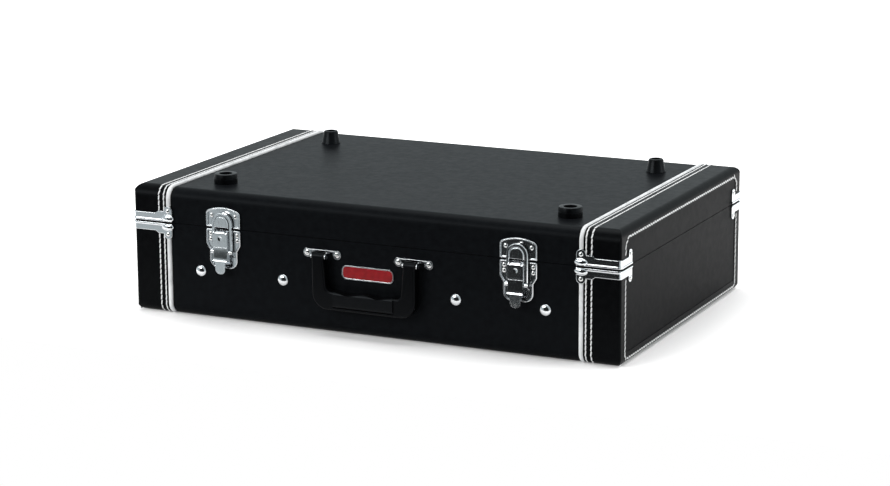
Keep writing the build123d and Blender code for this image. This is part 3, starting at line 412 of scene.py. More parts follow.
sew("lid_band_stitching", band_rows(upper_section), STITCH_HALF_WIDTH, STITCH_SLANT, "lid")
sew("base_band_stitching", band_rows(lower_section), STITCH_HALF_WIDTH, STITCH_SLANT, "base")
sew("lid_end_stitching", end_rows(upper_end), END_STITCH_HALF_WIDTH, END_STITCH_SLANT, "lid")
sew("base_end_stitching", end_rows(lower_end) + tacks, END_STITCH_HALF_WIDTH, END_STITCH_SLANT, "base")


# ----------------------------------------------
# Piping.  White vinyl drawn over a cord.  Its flat flange is caught between the centre covering and the end
# band, so that the bead stands along the joint and a thin strip of flange shows beside it.
# ----------------------------------------------
PIPING = "#e4e6e7"
PIPING_SHADE = "#c9cccd"
PIPING_SOILING = 14.0 * MM
PIPING_RELIEF = 0.5 * MM

# Calendered vinyl over cord: off-white, with a soft gloss, a little uneven where it was pulled round.
white_vinyl, tree, shader, place = start_material("white_vinyl_piping")
soiling = add(tree, "ShaderNodeTexNoise", {}, {"Vector": place, "Scale": 1 / PIPING_SOILING, "Detail": 3.0})
piping_tone = add(tree, "ShaderNodeValToRGB", {}, {"Fac": soiling.outputs["Fac"]}, [
    (0.3, linear(PIPING_SHADE)), (0.6, linear(PIPING))])
connect(tree, shader, {
    "Base Color": piping_tone.outputs["Color"],
    "Roughness": 0.38,
    "Normal": add(tree, "ShaderNodeBump", {}, {
        "Height": soiling.outputs["Fac"], "Strength": 0.3, "Distance": PIPING_RELIEF}).outputs[0],
})
dress(white_vinyl, "base_pipings", "lid_pipings")

WELT_WIDTH = 1.2 * MM
WELT_HEIGHT = 0.35 * MM
WELT_SHOULDER = 0.6 * WELT_HEIGHT
WELT_SINK = 0.1 * MM


def welt(name, section, body):
    """The piping's flat flange, which shows as a thin strip beside the bead."""
    points = [Vector((0.0, y, z)) for y, z in section]

    def build(shape):
        for side in (-1, 1):
            middle = side * (piping_x + BAND_ROWS[0])
            inner, outer = (middle + side * across * WELT_WIDTH / 2 for across in (-1, 1))
            profile = ((inner, -WELT_SINK), (inner, WELT_SHOULDER), (middle, WELT_HEIGHT),
                       (outer, WELT_SHOULDER), (outer, -WELT_SINK))
            rings = []
            for point in points:
                out = section_out(point)
                places = [Vector((x, point.y, point.z)) + out * rise for x, rise in profile]
                rings.append([shape.verts.new(place) for place in places])
            for a, b in zip(rings, rings[1:]):
                for k in range(len(a) - 1):
                    shape.faces.new((a[k], a[k + 1], b[k + 1], b[k]))

    new_piece(name, build, white_vinyl, body)


welt("lid_welts", upper_section, "lid")
welt("base_welts", lower_section, "base")


# ----------------------------------------------
# Seam clips.  Pressed steel, chrome plated, riveted over the bands and the piping's ends at each corner of
# the seam, where they stop the leatherette's cut edges from lifting.
# ----------------------------------------------
CHROME = "#d2d4d6"
PRESS_WAVE = 6.0 * MM
PRESS_RELIEF = 0.3 * MM
SCUFF = 0.8 * MM
SCUFF_SHARE = 0.08              # roughness that the scuffs add
WELD = 0.002 * MM               # corners closer than this are one
FLAT_ANGLE = 0.8                # degrees, below which two faces are one
EASED_ANGLE = 28                # degrees, above which an edge is eased
CRISP_ANGLE = 50                # degrees, above which a corner stays crisp
PRESSED_GRAIN = 0.4 * MM
PRESSED_PASSES = 5


def plated(name, colour, roughness):
    """Bright plated steel: mirror-like with the faint waviness of pressed metal."""
    material, tree, shader, place = start_material(name)
    waves = add(tree, "ShaderNodeTexNoise", {}, {"Vector": place, "Scale": 1 / PRESS_WAVE, "Detail": 2.0})
    scuffs = add(tree, "ShaderNodeTexNoise", {}, {"Vector": place, "Scale": 1 / SCUFF, "Detail": 4.0})
    rough = add(tree, "ShaderNodeMapRange", {}, {
        "Value": scuffs.outputs["Fac"], "From Min": 0.35, "From Max": 0.7,
        "To Min": roughness, "To Max": roughness + SCUFF_SHARE})
    connect(tree, shader, {
        "Base Color": linear(colour),
        "Metallic": 1.0,
        "Roughness": rough.outputs[0],
        "Normal": add(tree, "ShaderNodeBump", {}, {
            "Height": waves.outputs["Fac"], "Strength": 0.12, "Distance": PRESS_RELIEF}).outputs[0],
    })
    return material


def eased(name, node, width, material, body):
    """A piece with the shape of a CAD node, its sharp edges eased as pressing and tumbling leave them."""
    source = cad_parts[node].data

    def build(shape):
        shape.from_mesh(source)
        bmesh.ops.remove_doubles(shape, verts=shape.verts, dist=WELD)
        bmesh.ops.dissolve_limit(
            shape, angle_limit=radians(FLAT_ANGLE), verts=shape.verts, edges=shape.edges)

    piece = new_piece(name, build, material, body)
    bevel = piece.modifiers.new("eased", "BEVEL")
    bevel.width = width
    bevel.segments = 2
    bevel.limit_method = "ANGLE"
    bevel.angle_limit = radians(EASED_ANGLE)
    bevel.use_clamp_overlap = True
    settle(piece)
    flats = piece.modifiers.new("flats", "WEIGHTED_NORMAL")
    flats.keep_sharp = True
    bake(piece)
    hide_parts(node)
    return piece


def pressed(name, node, grain, material, body):
    """A piece with the shape of a CAD node, softened as sheet that is pressed over a former."""
    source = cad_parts[node].data

    def build(shape):
        shape.from_mesh(source)
        bmesh.ops.remove_doubles(shape, verts=shape.verts, dist=WELD)

    piece = new_piece(name, build, material, body)
    skin = piece.modifiers.new("skin", "REMESH")
    skin.mode = "VOXEL"
    skin.voxel_size = grain
    skin.use_smooth_shade = True
    soften = piece.modifiers.new("soften", "SMOOTH")
    soften.factor = 0.5
    soften.iterations = PRESSED_PASSES
    bake(piece)
    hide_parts(node)


def bake(piece):
    """Applies a piece's modifiers."""
    bpy.context.view_layer.update()
    seen = piece.evaluated_get(bpy.context.evaluated_depsgraph_get())
    piece.data = bpy.data.meshes.new_from_object(seen)
    piece.modifiers.clear()


def settle(piece, angle=CRISP_ANGLE):
    """Applies a piece's modifiers and keeps corners sharper than the angle crisp."""
    bake(piece)
    piece.data.set_sharp_from_angle(angle=radians(angle))


# Bright chrome over nickel: near-white and mirror-like, so that it shows the room in patches.
chrome = plated("chrome_plated_steel", CHROME, roughness=0.06)
pressed("lid_clips", "lid_corner_clips", PRESSED_GRAIN, chrome, "lid")
pressed("base_clips", "base_corner_clips", PRESSED_GRAIN, chrome, "base")


# ----------------------------------------------
# Rivets.  Dome-headed steel, nickel plated.  They are set from outside through the clips, latches and
# hinges and closed inside the plywood.
# ----------------------------------------------
NICKEL = "#d0d0cf"
HEAD_SIDES = 28
DOME_STEPS = 6
DOME_RIM = 0.12                 # upright rim below a dome, as a share of its height


def loose_parts(node):
    """The lowest and highest corner of each loose part of a CAD node's mesh."""
    shape = bmesh.new()
    shape.from_mesh(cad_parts[node].data)
    bmesh.ops.remove_doubles(shape, verts=shape.verts, dist=WELD)
    unseen = set(shape.verts)
    boxes = []
    while unseen:
        start = unseen.pop()
        part, frontier = [start], [start]
        while frontier:
            vert = frontier.pop()
            for edge in vert.link_edges:
                other = edge.other_vert(vert)
                if other in unseen:
                    unseen.remove(other)
                    part.append(other)
                    frontier.append(other)
        corners = [[pick(v.co[i] for v in part) for i in range(3)] for pick in (min, max)]
        boxes.append((Vector(corners[0]), Vector(corners[1])))
    shape.free()
    return boxes


def lathe(shape, profile, origin, axis, sides=HEAD_SIDES):
    """A turned form: profile is (radius, distance along the axis) from one end to the other."""
    turn = axis.to_track_quat("Z", "Y").to_matrix()
    rings = []
    for radius, rise in profile:
        if radius == 0:
            rings.append([shape.verts.new(origin + turn @ Vector((0, 0, rise)))])
        else:
            angles = [tau * k / sides for k in range(sides)]
            places = [Vector((radius * cos(angle), radius * sin(angle), rise)) for angle in angles]
            rings.append([shape.verts.new(origin + turn @ place) for place in places])
    for a, b in zip(rings, rings[1:]):
        for k in range(sides):
            quad = [a[k % len(a)], a[(k + 1) % sides % len(a)], b[(k + 1) % sides % len(b)], b[k % len(b)]]
            corners = list(dict.fromkeys(quad))
            if len(corners) > 2:
                shape.faces.new(corners)


def dome_profile(radius, height, steps=DOME_STEPS):
    """Profile of a dome whose rim stands a little above the seat."""
    rim = DOME_RIM * height
    points = [(radius, 0.0), (radius, rim)]
    for i in range(1, steps + 1):
        angle = pi / 2 * i / steps
        points.append((radius * cos(angle) if i < steps else 0, rim + (height - rim) * sin(angle)))
    return [(0, 0.0)] + points


def heads(name, node, material, body):
    """A domed head in place of each loose part of a CAD node, facing away from the case."""
    centre = Vector((0.0, 0.0, seam))

    def build(shape):
        for low, high in loose_parts(node):
            size = high - low
            flat = min(range(3), key=lambda i: size[i])
            middle = (low + high) / 2
            sign = 1 if middle[flat] > centre[flat] else -1
            axis = Vector([sign if i == flat else 0 for i in range(3)])
            seat = middle - axis * (size[flat] / 2)
            lathe(shape, dome_profile(max(size) / 2, size[flat]), seat, axis)

    piece = new_piece(name, build, material, body)
    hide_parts(node)


# Bright nickel plate: a little warmer and softer than the chrome beside it.
nickel = plated("nickel_plated_steel", NICKEL, roughness=0.10)
heads("base_rivet_heads", "base_rivets", nickel, "base")
heads("lid_rivet_heads", "lid_rivets", nickel, "lid")


# ----------------------------------------------
# Latches.  Draw latches of pressed steel, chrome plated: a base plate, a channel lever on its pin, and a
# ring that the lever pulls down over the half-round tongue of the keeper on the lid.
# ----------------------------------------------
SHEET_EDGE = 0.2 * MM
RING_EDGE = 0.3 * MM

for side in ("left", "right"):
    lever = "latch_lever_" + side
    loop = "latch_loop_" + side
    eased("latch_base_" + side, "latch_plate_" + side, SHEET_EDGE, chrome, "base")
    eased("latch_catch_" + side, "latch_keeper_" + side, SHEET_EDGE, chrome, "lid")
    eased("latch_handle_" + side, lever, SHEET_EDGE, chrome, lever)
    eased("latch_ring_" + side, loop, RING_EDGE, chrome, loop)
    dress(nickel, "latch_lever_pin_" + side, "latch_loop_pin_" + side)


# ----------------------------------------------
# Handle.  A U of moulded black nylon that swings on two plated brackets, with a softer vinyl grip moulded
# round its lower bar.  Cross-head screws hold the brackets to the front wall.
# ----------------------------------------------
MOULDED = "#020203"
MOULDED_WORN = "#050506"
MOULD_RELIEF = 0.1 * MM
ARM_EDGE = 0.6 * MM
GRIP_EDGE = 0.8 * MM
BRACKET_EDGE = 0.45 * MM
RECESS_WIDTH = 1.1 * MM
RECESS_DEPTH = 1.1 * MM
RECESS_SHARE = 0.56             # of the head's radius
RECESS_FLARE = ((1.2, RECESS_DEPTH), (0.7, -RECESS_DEPTH))      # share of its width, height from the crown


def moulded(name, roughness, ior, grit, depth):
    """Moulded plastic or rubber: even colour under a fine sparked texture, with a painted cool tint on its
    reflections.
    """
    material, tree, shader, place = start_material(name)
    texture = add(tree, "ShaderNodeTexNoise", {}, {"Vector": place, "Scale": 1 / grit, "Detail": 3.0})
    tone = add(tree, "ShaderNodeValToRGB", {}, {"Fac": texture.outputs["Fac"]}, [
        (0.3, linear(MOULDED)), (0.8, linear(MOULDED_WORN))])
    connect(tree, shader, {
        "Base Color": tone.outputs["Color"],
        "Roughness": roughness,
        "IOR": ior,
        # painted cool tint on the reflections
        "Specular Tint": linear(PAINTED_COOL_SHEEN),
        "Normal": add(tree, "ShaderNodeBump", {}, {
            "Height": texture.outputs["Fac"], "Strength": depth, "Distance": MOULD_RELIEF}).outputs[0],
    })
    return material


# Injection-moulded nylon from a sparked tool: black, with a low, even sheen.
handle_nylon = moulded("moulded_nylon", roughness=0.36, ior=1.18, grit=0.7 * MM, depth=0.3)
# Soft vinyl, moulded over it: the same black, a touch duller and coarser to the touch.
grip_vinyl = moulded("soft_vinyl_grip", roughness=0.40, ior=1.21, grit=1.0 * MM, depth=0.5)
eased("handle_arms", "handle_frame", ARM_EDGE, handle_nylon, "handle")
eased("handle_sleeve", "handle_grip", GRIP_EDGE, grip_vinyl, "handle")
eased("bracket_plates", "handle_brackets", BRACKET_EDGE, chrome, "base")
dress(nickel, "handle_pins")


def screws(name, node, profile, axis, material, body):
    """Turned screws with a cross recess in place of each loose part of a CAD node."""
    sites = loose_parts(node)
    thin = max(range(3), key=lambda i: abs(axis[i]))

    def build(shape):
        for low, high in sites:
            seat = (low + high) / 2 - axis * ((high - low)[thin] / 2)
            lathe(shape, profile(high - low), seat, axis)

    def build_cutter(shape):
        turn = axis.to_track_quat("Z", "Y").to_matrix()
        for low, high in sites:
            reach = max((high - low)[i] for i in range(3) if i != thin) / 2 * RECESS_SHARE
            top = (low + high) / 2 + axis * ((high - low)[thin] / 2)
            half = RECESS_WIDTH / 2
            arm = [(reach, -half), (reach, half), (half, half)]
            cross = [Matrix.Rotation(pi / 2 * k, 2) @ Vector(point) for k in range(4) for point in arm]
            above, below = (
                [shape.verts.new(top + turn @ (share * point).to_3d() + axis * rise) for point in cross]
                for share, rise in RECESS_FLARE)
            for k in range(len(cross)):
                shape.faces.new((below[k - 1], below[k], above[k], above[k - 1]))
            shape.faces.new(above)
            shape.faces.new(list(reversed(below)))

    cutter = new_piece(name + "_recess", build_cutter, material, body)
    piece = new_piece(name, build, material, body)
    cut = piece.modifiers.new("recess", "BOOLEAN")
    cut.object = cutter
    cut.solver = "EXACT"
    settle(piece)
    bpy.data.objects.remove(cutter)
    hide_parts(node)


def pan_head(size):
    """Profile of a pan-head screw seen only from its head."""
    return dome_profile(max(size) / 2, min(size))


screws("bracket_screws", "handle_screws", pan_head, Vector((0, -1, 0)), nickel, "base")


# ----------------------------------------------
# Front bolts and rail.  Four dome-headed carriage bolts run through the front wall and hold a beech rail
# against the inside of it with zinc-plated nuts.
# ----------------------------------------------
ZINC = "#b9bcc0"
BEECH = "#c79f6f"
BEECH_FLECK = "#a57b50"
BEECH_RUN = 125.0 * MM
BEECH_FIBRE = 2.5 * MM
BEECH_RELIEF = 0.1 * MM
RAIL_EDGE = 0.4 * MM
NUT_EDGE = 0.3 * MM
BOLT_HEAD = 4.6 * MM
BOLT_SIDES = 40
BOLT_ANGLE = 40                 # degrees, above which a corner of a bolt stays crisp
THREAD_PITCH = 1.0 * MM
THREAD_DEPTH = 0.35 * MM
THREAD_RUN = 14.0 * MM
SHANK_RADIUS = 3.0 * MM

# Zinc plate, passivated: greyer and duller than the chrome, as plain fixings are.
zinc = plated("zinc_plated_steel", ZINC, roughness=0.25)

# Planed beech: pale brown, with short darker flecks drawn out along the rail.
beech, tree, shader, place = start_material("beech")
fibres = add(tree, "ShaderNodeMapping", {}, {
    "Vector": place, "Scale": (1 / BEECH_RUN, 1 / BEECH_FIBRE, 1 / BEECH_FIBRE)})
figure = add(tree, "ShaderNodeTexNoise", {}, {"Vector": fibres.outputs[0], "Scale": 1.0, "Detail": 5.0})
beech_tone = add(tree, "ShaderNodeValToRGB", {}, {"Fac": figure.outputs["Fac"]}, [
    (0.3, linear(BEECH_FLECK)), (0.7, linear(BEECH))])
connect(tree, shader, {
    "Base Color": beech_tone.outputs["Color"],
    "Roughness": 0.55,
    "Normal": add(tree, "ShaderNodeBump", {}, {
        "Height": figure.outputs["Fac"], "Strength": 0.3, "Distance": BEECH_RELIEF}).outputs[0],
})
eased("rail", "front_rail", RAIL_EDGE, beech, "base")
eased("rail_nuts", "front_bolt_nuts", NUT_EDGE, zinc, "base")


def threaded(tip, run, radius):
    """Profile of a screw's end: a chamfered tip and a run of thread ridges."""
    ridges = [(radius - THREAD_DEPTH * (i % 2 == 0), tip + i * THREAD_PITCH / 2)
              for i in range(1, int(2 * run / THREAD_PITCH))]
    return [(0, tip), (radius - 2 * THREAD_DEPTH, tip)] + ridges


def build_bolts(shape):
    """Carriage bolts: domed head outside the front wall, threaded end through the rail."""
    for low, high in loose_parts("front_bolts"):
        seat = Vector(((low.x + high.x) / 2, low.y + BOLT_HEAD, (low.z + high.z) / 2))
        radius = (high.x - low.x) / 2
        dome = [point for point in dome_profile(radius, BOLT_HEAD) if point != (0, 0.0)]
        shank = threaded(seat.y - high.y, THREAD_RUN, SHANK_RADIUS)
        plain = [(SHANK_RADIUS, shank[-1][1]), (SHANK_RADIUS, 0.0)]
        lathe(shape, shank + plain + dome, seat, Vector((0, -1, 0)), BOLT_SIDES)


bolts = new_piece("carriage_bolts", build_bolts, chrome, "base")
settle(bolts, BOLT_ANGLE)
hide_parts("front_bolts")


# ----------------------------------------------
# Hinges.  Pressed steel leaves, nickel plated, rolled round a loose pin in turn and riveted to the back of
# both halves, so that the lid turns clear of the coverings.
# ----------------------------------------------
eased("base_hinge_plates", "base_hinge_leaves", SHEET_EDGE, nickel, "base")
eased("lid_hinge_plates", "lid_hinge_leaves", SHEET_EDGE, nickel, "lid")
dress(nickel, "hinge_pins")


# ----------------------------------------------
# Feet.  Moulded black rubber on the outside of the lid, which is the underside when the deck is in use.  A
# screw in each one's well runs through the lid's top into a nut, and the tall pair tilts the deck.
# ----------------------------------------------
LOW_WELL = (8.8 * MM, 8.0 * MM)             # radius, depth
TALL_WELL = (6.2 * MM, 12.0 * MM)
WELL_DRAFT = 0.5 * MM
LOW_TOP = 15.2 * MM
LOW_DRAFT = 0.1 * MM
TALL_TOP = 10.4 * MM
TALL_ROLL = 2.2 * MM
TALL_ROLL_ANGLES = (0.15, 0.5, 0.85, 1.2, pi / 2)       # radians
TALL_FLANGE = (0.6 * MM, 0.7 * MM, 1.6 * MM)    # its height, the step in above it, the cone's start
LIP = 0.5 * MM
MOULD_LINE = 0.35 * MM
FOOT_SIDES = 48
FOOT_ANGLE = 35                 # degrees, above which a corner of a foot stays crisp

# Moulded rubber: black with a dull sheen, finely gritted by the mould.
foot_rubber = moulded("moulded_rubber", roughness=0.34, ior=1.2, grit=0.9 * MM, depth=0.25)


def well_profile(height, radius, depth):
    """The end of a foot's profile: from its top ring over a lip and down to the floor of its well."""
    floor_radius = radius - WELL_DRAFT
    floor = height - depth
    return [(radius + LIP, height), (radius, height - LIP), (floor_radius, floor), (0, floor)]


def low_foot(radius, height):
    """Profile of the squat foot: near-upright wall with a moulded groove, flat ring round a deep well."""
    middle = 0.5 * height
    wall = [(radius, 0.0), (radius, 0.1 * height), (radius - LOW_DRAFT, middle),
            (radius - LOW_DRAFT - MOULD_LINE, middle + MOULD_LINE),
            (radius - 2 * LOW_DRAFT, middle + 2 * MOULD_LINE),
            (LOW_TOP, height - LIP), (LOW_TOP - 0.3 * LIP, height - 0.3 * LIP), (LOW_TOP - LIP, height)]
    return [(0, 0.0)] + wall + well_profile(height, *LOW_WELL)


def tall_foot(radius, height):
    """Profile of the tall foot: a cone with a thin flange at its base and a rolled shoulder."""
    shoulder = [(TALL_TOP - TALL_ROLL + TALL_ROLL * cos(angle), height - TALL_ROLL + TALL_ROLL * sin(angle))
                for angle in TALL_ROLL_ANGLES]
    flange, step, start = TALL_FLANGE
    wall = [(radius, 0.0), (radius, flange), (radius - step, start)]
    return [(0, 0.0)] + wall + shoulder + well_profile(height, *TALL_WELL)


def feet(name, node, profile):
    """Turned rubber feet in place of a CAD node's."""
    def build(shape):
        for low, high in loose_parts(node):
            seat = Vector(((low.x + high.x) / 2, (low.y + high.y) / 2, low.z))
            lathe(shape, profile((high.x - low.x) / 2, high.z - low.z), seat, Vector((0, 0, 1)), FOOT_SIDES)

    piece = new_piece(name, build, foot_rubber, "lid")
    settle(piece, FOOT_ANGLE)
    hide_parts(node)


feet("low_feet", "front_feet", low_foot)
feet("tall_feet", "rear_feet", tall_foot)

SCREW_HEAD = 2.8 * MM
SCREW_SHANK = 2.5 * MM


def foot_screw(size):
    """Profile of a machine screw: threaded shank below a pan head."""
    length = size.z - SCREW_HEAD
    head = [(radius, rise + length) for radius, rise in dome_profile(size.x / 2, SCREW_HEAD)[1:]]
    shank = threaded(0.0, length, SCREW_SHANK)
    return shank + [(SCREW_SHANK, length)] + head


screws("foot_fixings", "foot_screws", foot_screw, Vector((0, 0, 1)), zinc, "lid")
eased("deck_nuts", "foot_nuts", NUT_EDGE, zinc, "lid")


# ----------------------------------------------
# Pedal deck.  A plywood board that lies flat under the lid's top, bored out round the nuts of the feet, and
# faced with black looped carpet that hook tape on the pedals grips.
# ----------------------------------------------
CARPET = "#101011"
# the next colour is a painted highlight on the loop tops
CARPET_TIP_HIGHLIGHT = "#232325"
LOOP = 2.4 * MM
LOOP_RELIEF = 0.8 * MM
CARPET_EDGE = 2.0 * MM
CARPET_STEPS = (172, 106)
PILE_ROW = 4.0 * MM             # drawn wider than the loops, which are finer than the grid
PILE_DEPTH = 0.25 * MM
PILE_WANDER = 0.2 * MM
PILE_WANDER_TURN = (21, 17)     # radians a metre along x and y
BOARD_EDGE = 0.4 * MM
SLAB_SEAT = 0.2 * MM            # thickness that a soft slab's edge always keeps
SLAB_ROLL = 0.8                 # share of the rest that its rolled edge takes up
eased("deck_panel", "deck_board", BOARD_EDGE, stained_plywood, "lid")

# Looped polypropylene carpet: matt and dark, with a painted highlight that makes the loop tops paler.
loop_carpet, tree, shader, place = start_material("looped_polypropylene_carpet")
loops = add(tree, "ShaderNodeTexVoronoi", {"feature": "F1"}, {
    "Vector": place, "Scale": 1 / LOOP, "Randomness": 0.7})
loop_tone_and_highlight = add(tree, "ShaderNodeValToRGB", {}, {"Fac": loops.outputs["Distance"]}, [
    (0.1, linear(CARPET_TIP_HIGHLIGHT)), (0.7, linear(CARPET))])
connect(tree, shader, {
    "Base Color": loop_tone_and_highlight.outputs["Color"],
    "Roughness": 0.95,
    "IOR": 1.3,
    "Sheen Weight": 0.2,
    "Normal": add(tree, "ShaderNodeBump", {"invert": True}, {
        "Height": loops.outputs["Distance"], "Strength": 0.9, "Distance": LOOP_RELIEF}).outputs[0],
})


def soft_slab(shape, low, high, steps, edge, face_sign, relief):
    """A soft slab: one broad face is a grid with relief(x, y) and a rolled edge, the other lies flat."""
    columns, rows = steps
    seat, crown = (low.z, high.z) if face_sign > 0 else (high.z, low.z)
    roll = (abs(crown - seat) - SLAB_SEAT) * SLAB_ROLL
    tops, seats = [], []
    for j in range(rows + 1):
        y = low.y + (high.y - low.y) * j / rows
        top_row, seat_row = [], []
        for i in range(columns + 1):
            x = low.x + (high.x - low.x) * i / columns
            rim = min(x - low.x, high.x - x, y - low.y, high.y - y)
            fall = 1 - sqrt(max(0.0, 1 - (1 - min(rim, edge) / edge) ** 2))
            z = crown - face_sign * (roll * fall + relief(x, y) * (1 - fall))
            top_row.append(shape.verts.new((x, y, z)))
            on_rim = i in (0, columns) or j in (0, rows)
            seat_row.append(shape.verts.new((x, y, seat)) if on_rim else None)
        tops.append(top_row)
        seats.append(seat_row)
    for j in range(rows):
        for i in range(columns):
            shape.faces.new((tops[j][i], tops[j][i + 1], tops[j + 1][i + 1], tops[j + 1][i]))
    ring = ([(0, i) for i in range(columns)] + [(j, columns) for j in range(rows)]
            + [(rows, i) for i in range(columns, 0, -1)] + [(j, 0) for j in range(rows, 0, -1)])
    for a, b in zip(ring, ring[1:] + ring[:1]):
        shape.faces.new((seats[a[0]][a[1]], seats[b[0]][b[1]], tops[b[0]][b[1]], tops[a[0]][a[1]]))
    shape.faces.new([seats[j][i] for j, i in ring])


def carpet_relief(x, y):
    """Depth of the pile below its crown: rows of loops with a slow wander."""
    rows = 1 + sin(pi * x / PILE_ROW) * sin(pi * y / PILE_ROW)
    wander = 1 + sin(x * PILE_WANDER_TURN[0]) * sin(y * PILE_WANDER_TURN[1])
    return PILE_DEPTH * rows + PILE_WANDER * wander


low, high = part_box("deck_carpet")
carpet = new_piece("deck_loop_carpet", lambda shape: soft_slab(
    shape, low, high, CARPET_STEPS, CARPET_EDGE, -1, carpet_relief), loop_carpet, "lid")
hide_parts("deck_carpet")


# ----------------------------------------------
# Floor pad.  Charcoal polyether foam, die cut to drop into the deep half, where it lies loose and fills the
# bottom from wall to wall.  Its edges are soft and its face a little slack.
# ----------------------------------------------
FOAM = "#1c1c1e"
# the next colour is painted shade in the pits of the cells
FOAM_PIT_SHADE = "#111112"
CELL = 1.4 * MM                 # drawn coarser than such foam is, or it would not show
CELL_RELIEF = 0.5 * MM
PAD_EDGE = 5.0 * MM
PAD_STEPS = (120, 76)
PAD_SLACK = 0.5 * MM
PAD_SLACK_TURN = (13, 19)       # radians a metre along x and y
PAD_SLACK_START = (0.6, 1.1)    # radians
PAD_RIPPLE = 0.25 * MM
PAD_RIPPLE_TURN = (41, 37)      # radians a metre along x and y

# Open-cell foam: even dark grey, matt, with painted shade darkening the small pits of its cells.
open_cell_foam, tree, shader, place = start_material("open_cell_foam")
cells = add(tree, "ShaderNodeTexVoronoi", {"feature": "F1"}, {
    "Vector": place, "Scale": 1 / CELL, "Randomness": 1.0})
foam_tone_and_pit_shade = add(tree, "ShaderNodeValToRGB", {}, {"Fac": cells.outputs["Distance"]}, [
    (0.15, linear(FOAM_PIT_SHADE)), (0.5, linear(FOAM))])
connect(tree, shader, {
    "Base Color": foam_tone_and_pit_shade.outputs["Color"],
    "Roughness": 0.97,
    "IOR": 1.2,
    "Normal": add(tree, "ShaderNodeBump", {}, {
        "Height": cells.outputs["Distance"], "Strength": 0.5, "Distance": CELL_RELIEF}).outputs[0],
})


def pad_relief(x, y):
    """Depth below the pad's crown: the slack that a cut foam sheet settles into."""
    slack_x = sin(x * PAD_SLACK_TURN[0] + PAD_SLACK_START[0])
    slack_y = sin(y * PAD_SLACK_TURN[1] + PAD_SLACK_START[1])
    ripple = sin(x * PAD_RIPPLE_TURN[0]) * sin(y * PAD_RIPPLE_TURN[1])
    return PAD_SLACK * (1 + slack_x * slack_y) + PAD_RIPPLE * (1 + ripple)


low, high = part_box("floor_pad")
pad = new_piece("foam_floor_pad", lambda shape: soft_slab(
    shape, low, high, PAD_STEPS, PAD_EDGE, 1, pad_relief), open_cell_foam, "base")
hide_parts("floor_pad")


# ----------------------------------------------
# Badge.  A blank stamped plate on the front wall behind the handle, chrome plated, with a bright rim round
# a field of baked red enamel.
# ----------------------------------------------
ENAMEL = "#8f0c14"
ENAMEL_DEEP = "#740910"
ENAMEL_FLOW = 9.0 * MM
BADGE_EDGE = 0.25 * MM
SAME_LEVEL = 0.05 * MM          # faces no further than this from the field belong to it
FULL_FRONT = -0.99              # cosine to +y of a face that looks straight forward

# Baked enamel: a clean, wet-looking red, a little deeper in uneven patches where it flowed thicker.
red_enamel, tree, shader, place = start_material("baked_red_enamel")
flow = add(tree, "ShaderNodeTexNoise", {}, {"Vector": place, "Scale": 1 / ENAMEL_FLOW, "Detail": 2.0})
enamel_tone = add(tree, "ShaderNodeValToRGB", {}, {"Fac": flow.outputs["Fac"]}, [
    (0.3, linear(ENAMEL_DEEP)), (0.7, linear(ENAMEL))])
connect(tree, shader, {
    "Base Color": enamel_tone.outputs["Color"],
    "Roughness": 0.22,
    "Coat Weight": 0.15,
})
badge = eased("stamped_badge", "badge", BADGE_EDGE, chrome, "base")
badge.data.materials.append(red_enamel)
fronts = [face for face in badge.data.polygons if face.normal.y < FULL_FRONT]
field = max(fronts, key=lambda face: face.area)
for face in fronts:
    if abs(face.center.y - field.center.y) < SAME_LEVEL:
        face.material_index = 1


# ----------------------------------------------
# Studio.  White paper that runs out to pure white round the case, a dim room, soft lamps overhead, to the
# right and at the front left, and a long lens from the right and a little above.
# ----------------------------------------------
FLOOR_COLOUR = "#fafafa"
FLOOR_RUN = (0.34, 0.7)         # metres from the case's middle over which the paper runs out to white
FLOOR_LIFT = (0.06, 0.75)       # light that it gives off at the start and the end of that run
FLOOR_REACH = 12.0              # metres to the sides and behind
FLOOR_FRONT = 0.42              # the paper ends here, in front of the case
WHITE = (1.0, 1.0, 1.0, 1.0)
ROOM_LIGHT = 0.45
ROOM_TINT = (0.88, 0.97, 1.0)
ROOM_LEVELS = (                 # brightness that reflections find, from the camera's side to the far side
    (0.056, 0.02), (0.073, 0.08), (0.078, 0.62), (0.28, 0.7), (0.5, 1.0))


def seen_directly(tree, ray):
    """1 for the rays of the camera, straight, by a mirror or through glass, and 0 for the light's own."""
    mirrored = add(tree, "ShaderNodeMath", {"operation": "MAXIMUM"}, {
        0: ray.outputs["Is Camera Ray"], 1: ray.outputs["Is Glossy Ray"]})
    return add(tree, "ShaderNodeMath", {"operation": "MAXIMUM"}, {
        0: mirrored.outputs[0], 1: ray.outputs["Is Transmission Ray"]})


# White paper: matt, and lifted to pure white away from the case, for the camera and reflections only.
floor_paper, tree, shader, place = start_material("white_paper")
connect(tree, shader, {"Base Color": linear(FLOOR_COLOUR), "Roughness": 0.9})
direct = seen_directly(tree, add(tree, "ShaderNodeLightPath"))
away = add(tree, "ShaderNodeVectorMath", {"operation": "LENGTH"}, {0: place})
run_out = add(tree, "ShaderNodeMapRange", {}, {
    "Value": away.outputs["Value"], "From Min": FLOOR_RUN[0], "From Max": FLOOR_RUN[1],
    "To Min": FLOOR_LIFT[0], "To Max": FLOOR_LIFT[1]})
lift = add(tree, "ShaderNodeMath", {"operation": "MULTIPLY"}, {0: direct.outputs[0], 1: run_out.outputs[0]})
glow = add(tree, "ShaderNodeEmission", {}, {"Color": WHITE, "Strength": lift.outputs[0]})
paper = add(tree, "ShaderNodeAddShader", {}, {0: shader.outputs[0], 1: glow.outputs[0]})
connect(tree, tree.nodes["Material Output"], {"Surface": paper.outputs[0]})

floor_mesh = bpy.data.meshes.new("floor")
floor_mesh.from_pydata([
    (-FLOOR_REACH, -FLOOR_FRONT, 0), (FLOOR_REACH, -FLOOR_FRONT, 0),
    (FLOOR_REACH, FLOOR_REACH, 0), (-FLOOR_REACH, FLOOR_REACH, 0)], [], [(0, 1, 2, 3)])
floor_mesh.materials.append(floor_paper)
floor = bpy.data.objects.new("floor", floor_mesh)
bpy.context.scene.collection.objects.link(floor)

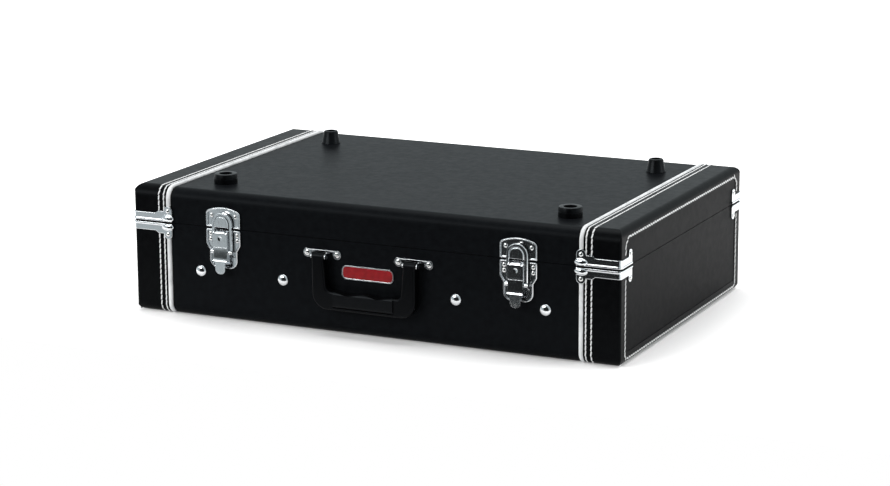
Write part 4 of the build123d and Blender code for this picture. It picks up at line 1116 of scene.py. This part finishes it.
# The room: dim for its light on the case, white to the camera, and graded for what the metal mirrors.
world = bpy.context.scene.world or bpy.data.worlds.new("studio")
bpy.context.scene.world = world
world.use_nodes = True
tree = world.node_tree
tree.nodes.clear()
ray = add(tree, "ShaderNodeLightPath")
direct = seen_directly(tree, ray)
way = add(tree, "ShaderNodeSeparateXYZ", {}, {0: add(tree, "ShaderNodeTexCoord").outputs["Generated"]})
heading = add(tree, "ShaderNodeMapRange", {}, {
    "Value": way.outputs["Y"], "From Min": -1.0, "From Max": 1.0})
graded = add(tree, "ShaderNodeValToRGB", {}, {"Fac": heading.outputs[0]}, [
    (position, [level * channel for channel in ROOM_TINT] + [1.0]) for position, level in ROOM_LEVELS])
seen = add(tree, "ShaderNodeMix", {"data_type": "RGBA"}, {
    0: ray.outputs["Is Camera Ray"], 6: graded.outputs[0], 7: WHITE})
room = add(tree, "ShaderNodeBackground", {}, {"Color": WHITE, "Strength": ROOM_LIGHT})
white = add(tree, "ShaderNodeBackground", {}, {"Color": seen.outputs[2], "Strength": 1.0})
backdrop = add(tree, "ShaderNodeMixShader", {}, {
    0: direct.outputs[0], 1: room.outputs[0], 2: white.outputs[0]})
add(tree, "ShaderNodeOutputWorld", {}, {"Surface": backdrop.outputs[0]})


def softbox(name, place, target, size, power):
    """A rectangular soft lamp aimed at a point."""
    lamp = bpy.data.lights.new(name, "AREA")
    lamp.shape = "RECTANGLE"
    lamp.size, lamp.size_y = size
    lamp.energy = power
    holder = bpy.data.objects.new(name, lamp)
    holder.location = place
    holder.rotation_euler = (Vector(target) - Vector(place)).to_track_quat("-Z", "Y").to_euler()
    bpy.context.scene.collection.objects.link(holder)


softbox("overhead_softbox", place=(0.0, 0.35, 2.6), target=(0, 0, 0.1), size=(2.4, 1.8), power=52)
softbox("right_softbox", place=(2.6, 0.6, 1.4), target=(0.2, 0, 0.1), size=(1.2, 1.2), power=16)
softbox("left_fill", place=(-1.5, -2.6, 1.6), target=(0, -0.2, 0.1), size=(2.0, 1.2), power=60)

CAMERA_PLACE = (1.5144, -3.1651, 0.9130)
CAMERA_TURN = 25.4965           # degrees from +Y towards -X
CAMERA_DIP = 13.3604            # degrees
CAMERA_ROLL = -0.3188           # degrees
LENS = 105.3                    # mm
SENSOR = 36.0                   # mm
lens = bpy.data.cameras.new("camera")
lens.lens = LENS
lens.sensor_width = SENSOR
lens.sensor_fit = "HORIZONTAL"
camera = bpy.data.objects.new("camera", lens)
turn = Euler((radians(90 - CAMERA_DIP), 0, radians(CAMERA_TURN))).to_matrix().to_4x4()
roll = Matrix.Rotation(radians(CAMERA_ROLL), 4, "Z")
camera.matrix_world = Matrix.Translation(CAMERA_PLACE) @ turn @ roll
bpy.context.scene.collection.objects.link(camera)
bpy.context.scene.camera = camera
bpy.context.scene.view_settings.view_transform = "Standard"
